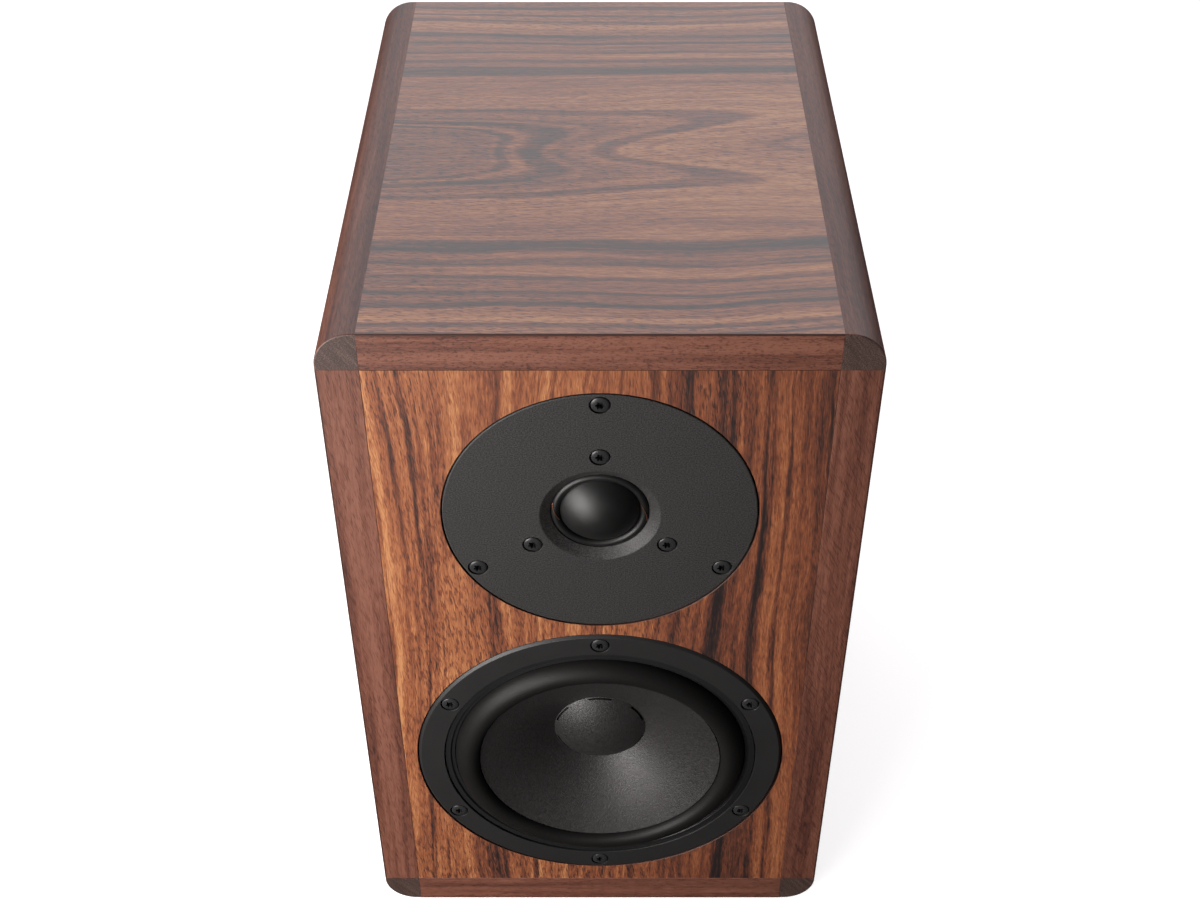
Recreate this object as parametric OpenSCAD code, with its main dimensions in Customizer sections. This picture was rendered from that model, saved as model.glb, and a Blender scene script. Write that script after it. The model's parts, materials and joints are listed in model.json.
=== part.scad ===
/* [Cabinet] */
// Width of the cabinet
cab_w = 185; // [180:1:200]
// Height of the cabinet
cab_h = 309; // [305:1:330]
// Depth of the cabinet
cab_d = 233; // [225:1:260]
// Thickness of the side, top and bottom panels and of the solid wood frame
panel_t = 14.5; // [14:0.5:16]
// Radius of the long outer edges
edge_r = 13; // [4:1:13]
// Thickness of the front baffle
baffle_t = 19; // [18:1:20]
// Thickness of the rear panel
rear_t = 15; // [15:1:16]
// Thickness of the veneer that laps over the front strips
veneer_t = 0.6; // [0.4:0.1:0.8]

/* [Tweeter] */
// Height of the tweeter's axis above the floor
tweeter_z = 229.3; // [228:0.1:231]
// Diameter of the tweeter's faceplate
tweeter_plate_d = 110; // [106:0.5:110.5]
// Diameter of the short waveguide at the face
waveguide_d = 42.3; // [40:0.1:44]
// Height of the soft dome
dome_h = 7.6; // [6.5:0.1:8]

/* [Woofer] */
// Height of the woofer's axis above the floor
woofer_z = 96.2; // [94:0.1:97]
// Diameter of the woofer's flange
woofer_flange_d = 144.5; // [143:0.5:145]
// Depth of the cone from its edge to its neck
cone_depth = 17.5; // [15:0.5:18]
// Height of the dome in the middle of the cone
cap_h = 6; // [4:0.5:7]

/* [Port] */
// Height of the port's axis above the floor
port_z = 215; // [195:1:240]
// Inner radius of the port tube
port_r = 24; // [20:0.5:24.5]
// Length of the port tube
port_len = 100; // [80:1:110]

/* [Terminals] */
// Height of the binding posts above the floor
terminal_z = 75; // [60:1:90]
// Distance between the two binding posts
post_spacing = 19.05; // [19:0.05:22]
// Radius of the sockets for 4 mm plugs
socket_r = 2; // [2:0.05:2.2]

/* [Hidden] */

// How finely round surfaces are drawn
fine = 96;
coarse = 48;
// How far a cut runs past the surface that it opens
over = 1;
// Glue and thread clearance between round parts of one body
slip = 0.05;

inner_w = cab_w - 2 * panel_t;
inner_h = cab_h - 2 * panel_t;
front_y = -cab_d / 2;
rear_y = cab_d / 2;
lap_y = front_y + panel_t;

// Tweeter, measured from the baffle's face
tw_plate_t = 4;
tw_gasket_t = 1;
tw_recess_d = 111;
tw_hole_r = 37;
tw_throat_r = 17.4;
tw_waveguide_depth = 2.6;
tw_outer_pcr = 50.4;
tw_inner_pcr = 27.5;
tw_base_z = -3.5;
tw_dome_r = 14.2;
tw_dome_t = 0.3;
tw_roll_r = 15.75;
tw_roll_half = 1.5;
tw_roll_t = 0.3;
tw_rim_r = 20.8;
tw_motor_r = 36;
tw_top_z = -4;
tw_top_t = 4;
tw_magnet_t = 10;
tw_back_t = 4;
tw_chamber_r = 30;
tw_chamber_len = 34;
tw_angles = [90, 210, 330];
tw_magnet_z = tw_top_z - tw_top_t;
tw_back_z = tw_magnet_z - tw_magnet_t;
tw_rear_z = tw_back_z - tw_back_t;

// Woofer, measured from the baffle's face
wf_proud = 0.5;
wf_flange_back = -4.5;
wf_gasket_t = 1;
wf_recess_d = 145.4;
wf_hole_r = 62.5;
wf_screw_pcr = 67;
wf_angles = [30, 90, 150, 210, 270, 330];
wf_lip_r = 62;
wf_ledge_z = -2.4;
wf_rubber_t = 0.8;
wf_inner_r = 57.8;
cone_edge_r = 47.7;
cone_edge_z = 1.5;
cone_neck_r = 18.5;
cone_t = 0.8;
cone_bulge = 1.2;
roll_mid_r = 52.8;
roll_half = 4.8;
roll_h = 4.8;
former_r = 16;
former_t = 0.3;
coil_t = 0.75;
wf_top_z = -40;
wf_top_t = 6;
wf_magnet_t = 14;
wf_back_t = 6;
wf_top_r = 42;
wf_magnet_r = 45;
spider_z = -29;
spider_t = 0.6;
cone_neck_z = cone_edge_z - cone_depth;
wf_magnet_z = wf_top_z - wf_top_t;
wf_back_z = wf_magnet_z - wf_magnet_t;

// Screws
bore_r = 3.65;
head_r = 3.25;
head_h = 2.3;
wood_shank_r = 1.8;

// Port
port_wall = 2.5;
port_flare = 12;
port_flange_r = 37;
port_flange_t = 3;
port_sleeve_r = port_r + 6.5;

// Terminals, measured from the rear panel's face
plate_w = 84;
plate_h = 52;
plate_t = 3;
plate_corner = 6;
plate_gap = 0.3;
plate_screw_x = 36;
plate_screw_y = 20;
stud_r = 4;
stud_in = 20;
stud_out = 22;
socket_depth = 18;
wire_hole_r = 1.5;
wire_hole_z = 4.5;
bush_r = 4.5;
bush_flange_r = 8;
bush_flange_t = 2.5;
washer_t = 1.5;
knob_r = 7;
knob_len = 20;
knob_flutes = 16;

// Crossover, on the bottom panel
board_w = 110;
board_y0 = -25;
board_y1 = 75;
board_lift = 6;
board_t = 1.6;
board_z = panel_t + board_lift;
board_top = board_z + board_t;
board_inset = 6;

// Routes of the cables, in the cabinet's frame
woofer_route = [
  [47.6, -80, 96.2], [58, -80, 95], [66, -70, 75], [62, -50, 45], [50, -24, 30], [44, -12, 22.1]
];
tweeter_route = [
  [0, -92, 196], [0, -80, 195], [-30, -70, 182], [-58, -62, 150], [-64, -58, 105], [-60, -45, 60],
  [-48, -22, 32], [-44, -12, 22.1]
];
input_route = [[9.5, 96.5, 75], [10, 88, 74], [20, 82, 60], [30, 72, 36], [31, 68, 22.1]];
// Route of a tinsel lead, in the woofer's frame
tinsel_route = [
  [48.5, 5, -35.1], [50.6, 9, -30], [49.6, 17.4, -24.5], [42, 20, -20.5], [30, 11, -20], [17, 3, -22]
];

// ---- shared shapes ----

// The front frame: +Z comes out of the baffle and +Y is up
module on_front(z) {
  translate([0, front_y, z]) rotate([90, 0, 0]) children();
}

// The rear frame: +Z comes out of the rear panel and +Y is down
module on_rear(z) {
  translate([0, rear_y, z]) rotate([-90, 0, 0]) children();
}

module around(r, angles) {
  for (a = angles) rotate([0, 0, a]) translate([r, 0, 0]) children();
}

module disc(r, z0, z1, fn = fine) {
  translate([0, 0, z0]) cylinder(h = z1 - z0, r = r, $fn = fn);
}

module ring(r_out, r_in, z0, z1, fn = fine) {
  difference() {
    disc(r_out, z0, z1, fn);
    disc(r_in, z0 - over, z1 + over, fn);
  }
}

module turned(points) {
  rotate_extrude($fn = fine) polygon(points);
}

// Outline of a rectangle with round corners
function corner_arc(cx, cy, r, a0, n = 8) = [
  for (i = [0:n]) [cx + r * cos(a0 + 90 * i / n), cy + r * sin(a0 + 90 * i / n)]
];
function rounded_rect(w, h, r) = concat(
  corner_arc(w / 2 - r, h / 2 - r, r, 0),
  corner_arc(r - w / 2, h / 2 - r, r, 90),
  corner_arc(r - w / 2, r - h / 2, r, 180),
  corner_arc(w / 2 - r, r - h / 2, r, 270)
);

// A screw with a domed head, its head resting at z = 0 and its shank running down
module screw(shank_r, shank_len, r = head_r, h = head_h) {
  socket_r1 = r * 0.42;
  lobe = r * 0.09;
  dome = [for (i = [0:8]) [r * cos(90 * i / 8), h * 0.35 + h * 0.65 * sin(90 * i / 8)]];
  difference() {
    union() {
      rotate_extrude($fn = coarse) polygon(concat([[0, 0], [r, 0]], dome));
      disc(shank_r, -shank_len, over * 0.1, coarse);
    }
    translate([0, 0, h * 0.3]) linear_extrude(h) polygon([
      for (a = [0:10:350]) (socket_r1 + lobe * cos(6 * a)) * [cos(a), sin(a)]
    ]);
  }
}

// Points of a smooth curve through a route, with n steps between its points
function spline_at(p, i, t) =
  let (
    last = len(p) - 1,
    a = p[max(i - 1, 0)],
    b = p[i],
    c = p[i + 1],
    d = p[min(i + 2, last)]
  )
  0.5 * (2 * b + (c - a) * t + (2 * a - 5 * b + 4 * c - d) * t * t
    + (3 * b - a - 3 * c + d) * t * t * t);
function spline(p, n) = concat(
  [for (i = [0:len(p) - 2]) for (k = [0:n - 1]) spline_at(p, i, k / n)],
  [p[len(p) - 1]]
);
function unit(v) = v / norm(v);

// A round cable along a route: side is a direction that the route never runs along
module cable(route, r, n, side, first, last) {
  pts = spline(route, n);
  count = len(pts);
  sides = 8;
  function heading(i) =
    i == 0 ? first : i == count - 1 ? last : unit(pts[i + 1] - pts[i - 1]);
  rings = [
    for (i = [0:count - 1])
      let (t = heading(i), u = unit(cross(t, side)), v = cross(t, u))
        for (k = [0:sides - 1])
          pts[i] + r * (cos(360 * k / sides) * u + sin(360 * k / sides) * v)
  ];
  walls = [
    for (i = [0:count - 2]) for (k = [0:sides - 1])
      let (a = i * sides + k, b = i * sides + (k + 1) % sides)
        each [[a, b, b + sides], [a, b + sides, a + sides]]
  ];
  caps = [[for (k = [0:sides - 1]) sides - 1 - k], [for (k = [0:sides - 1]) (count - 1) * sides + k]];
  polyhedron(rings, concat(walls, caps));
}

// ---- cabinet ----

module front_baffle() {
  color("peru") difference() {
    translate([-inner_w / 2, front_y, panel_t]) cube([inner_w, baffle_t, inner_h]);
    on_front(tweeter_z) {
      disc(tw_recess_d / 2, -tw_plate_t - tw_gasket_t, over);
      disc(tw_hole_r, -baffle_t - over, over);
      around(tw_outer_pcr, tw_angles) disc(wood_shank_r + slip, -baffle_t + over, 0, coarse);
    }
    on_front(woofer_z) {
      disc(wf_recess_d / 2, wf_flange_back - wf_gasket_t, over);
      disc(wf_hole_r, -baffle_t - over, over);
      around(wf_screw_pcr, wf_angles) disc(wood_shank_r + slip, -baffle_t + over, 0, coarse);
    }
  }
}

module rear_panel() {
  color("saddlebrown") difference() {
    translate([-inner_w / 2, rear_y - rear_t, panel_t]) cube([inner_w, rear_t, inner_h]);
    on_rear(port_z) {
      disc(port_flange_r + 0.2, -port_flange_t, over);
      disc(port_sleeve_r + 0.2, -rear_t - over, over);
    }
    on_rear(terminal_z) {
      translate([0, 0, -plate_t]) linear_extrude(plate_t + over)
        polygon(rounded_rect(plate_w, plate_h, plate_corner));
      translate([-30, -14, -rear_t - over]) cube([60, 28, rear_t]);
      terminal_screw_places() disc(1.65, -12, 0, coarse);
    }
  }
}

// A panel lying flat, with its veneer lapping forward over the front strip
module lapped_panel(w) {
  translate([-w / 2, lap_y, 0]) cube([w, rear_y - lap_y, panel_t]);
  translate([-w / 2, front_y, panel_t - veneer_t]) cube([w, panel_t + over, veneer_t]);
}

module front_strip(w) {
  translate([-w / 2, front_y, 0]) cube([w, panel_t, panel_t - veneer_t]);
}

// Turns a flat piece so that its outer face looks up, down, left or right
module to_top() { translate([0, 0, cab_h - panel_t]) children(); }
module to_bottom() { translate([0, 0, panel_t]) rotate([0, 180, 0]) children(); }
module to_left() { translate([-inner_w / 2, 0, cab_h / 2]) rotate([0, -90, 0]) children(); }
module to_right() { translate([inner_w / 2, 0, cab_h / 2]) rotate([0, 90, 0]) children(); }

module top_panel() { color("rosybrown") to_top() lapped_panel(inner_w); }
module bottom_panel() {
  color("sienna") difference() {
    to_bottom() lapped_panel(inner_w);
    crossover_corners() disc(1.55, 4, panel_t + over, coarse);
  }
}
module left_panel() { color("sienna") to_left() lapped_panel(inner_h); }
module right_panel() { color("sienna") to_right() lapped_panel(inner_h); }
module front_strip_top() { color("brown") to_top() front_strip(inner_w); }
module front_strip_bottom() { color("brown") to_bottom() front_strip(inner_w); }
module front_strip_left() { color("brown") to_left() front_strip(inner_h); }
module front_strip_right() { color("brown") to_right() front_strip(inner_h); }

// Section of a long edge, with its round corner at the upper right
module edge_rail(side, top) {
  flat = panel_t - edge_r;
  outline = concat([[0, 0], [panel_t, 0]], corner_arc(flat, flat, edge_r, 0, 24), [[0, panel_t]]);
  color("maroon")
    translate([side * inner_w / 2, rear_y, top ? cab_h - panel_t : panel_t])
      mirror([side < 0 ? 1 : 0, 0, 0])
        mirror([0, 0, top ? 0 : 1])
          rotate([90, 0, 0]) linear_extrude(cab_d) polygon(outline);
}
module edge_rail_top_left() { edge_rail(-1, true); }
module edge_rail_top_right() { edge_rail(1, true); }
module edge_rail_bottom_left() { edge_rail(-1, false); }
module edge_rail_bottom_right() { edge_rail(1, false); }

module damping_pads() {
  color("dimgray") for (side = [-1, 1])
    translate([side * (inner_w / 2 - 9) - 9, -30, 60]) cube([18, 120, 220]);
}

module port_tube() {
  flare = [for (i = [0:12]) [
    port_r + port_flare - port_flare * cos(90 * i / 12),
    -port_flare + port_flare * sin(90 * i / 12)
  ]];
  color("black") on_rear(port_z) turned(concat(
    [[port_r, -port_len]], flare,
    [
      [port_flange_r, 0], [port_flange_r, -port_flange_t], [port_sleeve_r, -port_flange_t],
      [port_sleeve_r, -rear_t], [port_r + port_wall, -rear_t], [port_r + port_wall, -port_len]
    ]
  ));
}

// ---- tweeter ----

module tweeter_faceplate() {
  color("#2b2b2d") on_front(tweeter_z) difference() {
    turned([
      [tw_throat_r, -tw_waveguide_depth], [waveguide_d / 2, 0], [tweeter_plate_d / 2 - 0.4, 0],
      [tweeter_plate_d / 2, -0.4], [tweeter_plate_d / 2, -tw_plate_t], [tw_rim_r + 0.2, -tw_plate_t],
      [tw_rim_r + 0.2, tw_base_z + 0.1], [tw_throat_r, tw_base_z + 0.1]
    ]);
    around(tw_outer_pcr, tw_angles) screw_hole(wood_shank_r, tw_plate_t);
    around(tw_inner_pcr, tw_angles) screw_hole(1.5, tw_plate_t);
  }
}

// A hole for a screw's shank, with a counterbore that hides its head
module screw_hole(shank_r, depth) {
  disc(shank_r + slip, -depth - over, 0, coarse);
  disc(bore_r, -head_h, over, coarse);
}

module tweeter_gasket() {
  color("#1c1c1c") on_front(tweeter_z) difference() {
    ring(tweeter_plate_d / 2 - over, tw_hole_r + 0.5, -tw_plate_t - tw_gasket_t, -tw_plate_t);
    around(tw_outer_pcr, tw_angles) disc(wood_shank_r + slip, -tw_plate_t - 2, 0, coarse);
  }
}

module tweeter_surround() {
  thin = tw_roll_half - tw_roll_t;
  lip_z = tw_base_z - 0.7;
  top = [for (a = [0:15:180]) [tw_roll_r + tw_roll_half * cos(a), tw_base_z + tw_roll_half * sin(a)]];
  under = [for (a = [180:-15:0]) [tw_roll_r + thin * cos(a), tw_base_z - tw_roll_t + tw_roll_half * sin(a)]];
  color("#141414") on_front(tweeter_z) turned(concat(
    [[tw_rim_r, tw_base_z]], top, [[tw_dome_r + slip, lip_z], [tw_roll_r - thin, lip_z]], under,
    [[tw_roll_r + thin, tw_top_z], [tw_rim_r, tw_top_z]]
  ));
}

// Height of a spherical cap above its rim, at radius r
function cap_rise(r, rim_r, h) =
  let (big = (rim_r * rim_r + h * h) / (2 * h)) sqrt(big * big - r * r) - big + h;

module tweeter_dome() {
  steps = 16;
  inner_r = tw_dome_r - tw_dome_t;
  skirt_z = tw_base_z - 4;
  function at(r) = [r, tw_base_z + cap_rise(r, tw_dome_r, dome_h)];
  outer = [for (i = [0:steps]) at(tw_dome_r * (1 - i / steps))];
  inner = [for (i = [0:steps]) at(inner_r * i / steps) - [0, tw_dome_t]];
  color("#101010") on_front(tweeter_z)
    turned(concat([[tw_dome_r, skirt_z]], outer, inner, [[inner_r, skirt_z]]));
}

module tweeter_voice_coil() {
  color("orange") on_front(tweeter_z) ring(tw_dome_r + 0.45, tw_dome_r + slip, -7.5, -4.6);
}

module tweeter_front_plate() {
  color("silver") on_front(tweeter_z) difference() {
    ring(tw_motor_r, tw_dome_r + 0.75, tw_magnet_z, tw_top_z);
    around(tw_inner_pcr, tw_angles) disc(1.5 + slip, tw_magnet_z - over, 0, coarse);
  }
}

module tweeter_magnet() {
  color("#3c3c3c") on_front(tweeter_z) ring(tw_motor_r, 18, tw_back_z, tw_magnet_z);
}

module tweeter_yoke() {
  pole_r = 13.5;
  color("silver") on_front(tweeter_z) difference() {
    union() {
      disc(tw_motor_r, tw_rear_z, tw_back_z);
      disc(pole_r, tw_back_z - over, tw_top_z - 0.6);
    }
    disc(5, tw_rear_z - over, 0, coarse);
  }
}

module tweeter_felt() {
  color("gray") on_front(tweeter_z) ring(12, 5, tw_top_z - 0.6, tw_top_z + 1.2, coarse);
}

module tweeter_rear_chamber() {
  end_z = tw_rear_z - tw_chamber_len;
  color("#202020") on_front(tweeter_z) difference() {
    disc(tw_chamber_r, end_z, tw_rear_z);
    disc(tw_chamber_r - 2, end_z + 2, tw_rear_z + over);
  }
}

module tweeter_terminals() {
  color("gold") on_front(tweeter_z) {
    translate([-9, -35.5, tw_rear_z - 2.5]) cube([18, 5, 2.5]);
    for (x = [-6, 6]) translate([x - 1.4, -44, tw_rear_z - 1.6]) cube([2.8, 9, 0.8]);
  }
}

module tweeter_mounting_screws() {
  color("#181818") on_front(tweeter_z)
    around(tw_outer_pcr, tw_angles) translate([0, 0, -head_h]) screw(wood_shank_r, 14);
}

module tweeter_assembly_screws() {
  color("#181818") on_front(tweeter_z)
    around(tw_inner_pcr, tw_angles) translate([0, 0, -head_h]) screw(1.5, 5);
}

module tweeter_lead_wires() {
  r = 0.15;
  steps = 5;
  lift = tw_roll_half + r + 0.06;
  // Over the roll, from the dome's side to the rim's side
  route = [for (i = [0:steps])
    let (a = 14 - 28 * i / steps, over_roll = 130 - 90 * i / steps, q = tw_roll_r + lift * cos(over_roll))
      [q * cos(a), q * sin(a), tw_base_z + lift * sin(over_roll)]];
  start = unit(route[1] - route[0]);
  end = unit(route[steps] - route[steps - 1]);
  color("#b5694a") on_front(tweeter_z) for (turn = [0, 180])
    rotate([0, 0, turn]) cable(route, r, 1, [1, 0, 0], start, end);
}

// ---- woofer ----

module woofer_basket() {
  rim = woofer_flange_d / 2;
  color("#262626") on_front(woofer_z) difference() {
    turned([
      [wf_inner_r, wf_ledge_z], [wf_lip_r, wf_ledge_z], [wf_lip_r, wf_proud], [rim - 1, wf_proud],
      [rim, wf_proud - 1], [rim, wf_flange_back], [61.5, wf_flange_back], [61, -8], [46, -33],
      [46, wf_top_z], [30, wf_top_z], [30, -37], [37, -37], [37, spider_z], [43, spider_z], [57.5, -6]
    ]);
    around(wf_screw_pcr, wf_angles) translate([0, 0, wf_proud]) screw_hole(wood_shank_r, 6);
    around(38, wf_angles) translate([0, -13, -27]) cube([30, 26, 18]);
  }
}

module woofer_gasket() {
  color("#1c1c1c") on_front(woofer_z) difference() {
    ring(woofer_flange_d / 2 - over, wf_hole_r + 0.3, wf_flange_back - wf_gasket_t, wf_flange_back);
    around(wf_screw_pcr, wf_angles) disc(wood_shank_r + slip, -8, 0, coarse);
  }
}

module woofer_clamp_ring() {
  base = wf_ledge_z + wf_rubber_t;
  color("#1a1a1a") on_front(woofer_z) turned([
    [wf_inner_r, base], [wf_lip_r - 0.3, base], [wf_lip_r - 0.3, base + 1.4], [59.6, base + 1.4],
    [59.2, base + 0.7], [wf_inner_r, base + 0.7]
  ]);
}

// The half roll leans from its outer foot on the basket up to its inner foot under the cone
module woofer_surround() {
  outer_z = wf_ledge_z + wf_rubber_t;
  inner_z = cone_edge_z - cone_t;
  thin = roll_half - wf_rubber_t;
  lip = cone_face(0.04) - [0, cone_t + 0.02];
  top = [
    for (a = [0:7.5:180])
      [roll_mid_r + roll_half * cos(a), lean(a, outer_z, inner_z) + roll_h * sin(a)]
  ];
  under = [for (a = [180:-7.5:0]) [
    roll_mid_r + thin * cos(a), lean(a, outer_z, inner_z) - wf_rubber_t + roll_h * sin(a)
  ]];
  color("#1d1d1d") on_front(woofer_z) turned(concat(
    [[61.5, outer_z]], top, [[cone_edge_r, inner_z], lip, lip - [0, wf_rubber_t]], under, [[61.5, wf_ledge_z]]
  ));
}
function lean(a, outer_z, inner_z) = (outer_z + inner_z) / 2 + (outer_z - inner_z) / 2 * cos(a);

// The cone's front face, from its edge to its neck, a little fuller than a straight cone
function cone_face(t) = [
  cone_edge_r + (cone_neck_r - cone_edge_r) * t,
  cone_edge_z + (cone_neck_z - cone_edge_z) * t + cone_bulge * sin(180 * t)
];

module woofer_cone() {
  steps = 12;
  down = [0, -cone_t];
  dome = [
    for (i = [1:steps])
      let (r = cone_neck_r * (1 - i / steps)) [r, cone_neck_z + cap_rise(r, cone_neck_r, cap_h)]
  ];
  face = concat([for (i = [0:steps]) cone_face(i / steps)], dome);
  back = [for (i = [len(face) - 1:-1:0]) face[i] + down];
  color("#2a2a2a") on_front(woofer_z) {
    difference() {
      turned(concat(face, back));
      // Six narrow arc slots round the dome's rim
      for (a = wf_angles) rotate([0, 0, a - 15]) translate([0, 0, cone_neck_z - 3])
        rotate_extrude(angle = 30, $fn = fine) translate([17.5, 0]) square([0.6, 6]);
    }
    ring(17.4, former_r + former_t + slip, cone_neck_z - 3, cone_neck_z + 0.4);
  }
}

module woofer_coil_former() {
  color("goldenrod") on_front(woofer_z) ring(former_r + former_t, former_r, -52, cone_neck_z - 1);
}

module woofer_voice_coil() {
  r = former_r + former_t + slip;
  color("orange") on_front(woofer_z) ring(r + coil_t, r, -50, -36);
}

module woofer_spider() {
  inner_r = former_r + former_t + slip;
  wave_start = 19;
  wave_end = 36.5;
  waves = 5;
  steps = 50;
  z = spider_z + spider_t;
  wave = [
    for (i = [0:steps])
      [wave_start + (wave_end - wave_start) * i / steps, z + 1.1 * sin(360 * waves * i / steps)]
  ];
  under = [for (i = [len(wave) - 1:-1:0]) wave[i] - [0, spider_t]];
  color("khaki") on_front(woofer_z) turned(concat(
    [[inner_r, z]], wave, [[42, z], [42, spider_z]], under, [[inner_r, spider_z]]
  ));
}

module woofer_front_plate() {
  color("silver") on_front(woofer_z) ring(wf_top_r, 17.6, wf_magnet_z, wf_top_z);
}

module woofer_magnet() {
  color("#3c3c3c") on_front(woofer_z) ring(wf_magnet_r, 21, wf_back_z, wf_magnet_z);
}

module woofer_yoke() {
  color("silver") on_front(woofer_z) difference() {
    union() {
      disc(wf_top_r, wf_back_z - wf_back_t, wf_back_z);
      disc(15.5, wf_back_z - over, wf_top_z);
    }
    disc(5, wf_back_z - wf_back_t - over, 0, coarse);
  }
}

module woofer_screws() {
  color("#181818") on_front(woofer_z)
    around(wf_screw_pcr, wf_angles) translate([0, 0, wf_proud - head_h]) screw(wood_shank_r, 14);
}

module woofer_terminals() {
  color("gold") on_front(woofer_z) {
    translate([46.05, -9, -39.5]) cube([1.5, 18, 6.4]);
    for (y = [-5, 5]) translate([47, y - 1.4, -36.4]) cube([9, 2.8, 0.8]);
  }
}

module woofer_tinsel_leads() {
  start = unit(tinsel_route[1] - tinsel_route[0]);
  end = unit(tinsel_route[5] - tinsel_route[4]);
  color("#c08060") on_front(woofer_z) for (flip = [0, 1])
    mirror([0, flip, 0]) cable(tinsel_route, 0.6, 2, [0, 0.3, 1], start, end);
}

// ---- crossover and cables ----

module crossover_corners() {
  for (x = [-1, 1]) for (y = [board_y0 + board_inset, board_y1 - board_inset])
    translate([x * (board_w / 2 - board_inset), y, 0]) children();
}

module crossover_board() {
  color("darkgreen") difference() {
    translate([-board_w / 2, board_y0, board_z]) cube([board_w, board_y1 - board_y0, board_t]);
    crossover_corners() disc(1.6, board_z - over, board_top + over, coarse);
  }
}

module crossover_spacers() {
  color("white") crossover_corners() ring(3.5, 1.6, panel_t, board_z, coarse);
}

module crossover_screws() {
  color("silver") crossover_corners() translate([0, 0, board_top]) screw(1.5, 16, 3, 2);
}

module inductor(r_out, r_in, h) {
  translate([0, 0, board_top]) ring(r_out, r_in, 0, h, coarse);
}

module crossover_inductors() {
  color("chocolate") {
    translate([-26, 45, 0]) inductor(20, 9, 16);
    translate([24, 12, 0]) inductor(15, 7, 12);
  }
}

module capacitor(x, y, r, l) {
  translate([x - l / 2, y, board_top + r]) rotate([0, 90, 0]) cylinder(h = l, r = r, $fn = coarse);
}

module crossover_capacitors() {
  color("navy") {
    capacitor(24, 46, 10, 40);
    capacitor(-24, 12, 7, 30);
  }
}

module crossover_resistors() {
  color("white") {
    translate([-44, -8, board_top]) cube([40, 9, 9]);
    translate([4, -16, board_top]) cube([30, 7, 7]);
  }
}

module internal_cables() {
  down = [0, 0, -1];
  color("red") {
    cable(woofer_route, 1.7, 2, [0.3, 1, 0.4], [1, 0, 0], down);
    cable(tweeter_route, 1.7, 3, [0.3, 0.5, 0.2], [0, 1, 0], down);
    for (flip = [0, 1]) mirror([flip, 0, 0]) cable(input_route, 1.2, 2, [1, 0.2, 0.2], [0, -1, 0], down);
  }
}

// ---- terminals ----

module terminal_screw_places() {
  for (x = [-1, 1]) for (y = [-1, 1])
    translate([x * plate_screw_x, y * plate_screw_y, 0]) children();
}

module posts() {
  for (side = [-1, 1]) post(side) children();
}

module post(side) {
  on_rear(terminal_z) translate([side * post_spacing / 2, 0, 0]) children();
}

module terminal_plate() {
  color("#303030") on_rear(terminal_z) difference() {
    translate([0, 0, -plate_t]) linear_extrude(plate_t)
      polygon(rounded_rect(plate_w - 2 * plate_gap, plate_h - 2 * plate_gap, plate_corner));
    for (side = [-1, 1])
      translate([side * post_spacing / 2, 0, 0]) disc(bush_r + slip, -plate_t - over, over, coarse);
    terminal_screw_places() disc(1.65, -plate_t - over, over, coarse);
  }
}

module terminal_screws() {
  color("#181818") on_rear(terminal_z) terminal_screw_places() screw(1.6, 11.5, 3, 2);
}

module terminal_studs() {
  color("gold") posts() difference() {
    disc(stud_r, -stud_in, stud_out, coarse);
    disc(socket_r, stud_out - socket_depth, stud_out + over, coarse);
    translate([0, 0, wire_hole_z]) rotate([0, 90, 0])
      cylinder(h = 2 * stud_r + 2 * over, r = wire_hole_r, center = true, $fn = coarse);
  }
}

module terminal_insulators() {
  color("#151515") posts() {
    difference() {
      union() {
        disc(bush_flange_r, 0, bush_flange_t, coarse);
        disc(bush_r, -plate_t, over, coarse);
      }
      disc(stud_r + slip, -plate_t - over, bush_flange_t + over, coarse);
    }
    ring(bush_flange_r - 1, stud_r + slip, -plate_t - 2, -plate_t, coarse);
  }
}

module terminal_nuts() {
  across_corners_r = 7.5;
  color("gold") posts() difference() {
    translate([0, 0, -plate_t - 7]) cylinder(h = 5, r = across_corners_r, $fn = 6);
    disc(stud_r + slip, -plate_t - 8, 0, coarse);
  }
}

module washer(side) {
  color("gold") post(side) ring(knob_r - 0.2, stud_r + 0.3, bush_flange_t, bush_flange_t + washer_t, coarse);
}
module positive_washer() { washer(-1); }
module negative_washer() { washer(1); }

module knob() {
  base = bush_flange_t + washer_t;
  flute_r = 0.7;
  difference() {
    disc(knob_r, base, base + knob_len, coarse);
    disc(stud_r + slip, base - over, base + knob_len + over, coarse);
    around(knob_r + flute_r * 0.4, [for (i = [0:knob_flutes - 1]) 360 * i / knob_flutes])
      disc(flute_r, base + 3, base + knob_len + over, 24);
  }
}
module positive_knob() { color("firebrick") post(-1) knob(); }
module negative_knob() { color("#151515") post(1) knob(); }

front_baffle();
rear_panel();
top_panel();
bottom_panel();
left_panel();
right_panel();
edge_rail_top_left();
edge_rail_top_right();
edge_rail_bottom_left();
edge_rail_bottom_right();
front_strip_top();
front_strip_bottom();
front_strip_left();
front_strip_right();
damping_pads();
port_tube();
tweeter_faceplate();
tweeter_gasket();
tweeter_surround();
tweeter_dome();
tweeter_voice_coil();
tweeter_front_plate();
tweeter_magnet();
tweeter_yoke();
tweeter_felt();
tweeter_rear_chamber();
tweeter_terminals();
tweeter_mounting_screws();
tweeter_assembly_screws();
tweeter_lead_wires();
woofer_basket();
woofer_gasket();
woofer_clamp_ring();
woofer_surround();
woofer_cone();
woofer_coil_former();
woofer_voice_coil();
woofer_spider();
woofer_front_plate();
woofer_magnet();
woofer_yoke();
woofer_screws();
woofer_terminals();
woofer_tinsel_leads();
crossover_board();
crossover_spacers();
crossover_screws();
crossover_inductors();
crossover_capacitors();
crossover_resistors();
internal_cables();
terminal_plate();
terminal_screws();
terminal_studs();
terminal_insulators();
terminal_nuts();
positive_washer();
negative_washer();
positive_knob();
negative_knob();
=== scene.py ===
import json
import math

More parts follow.
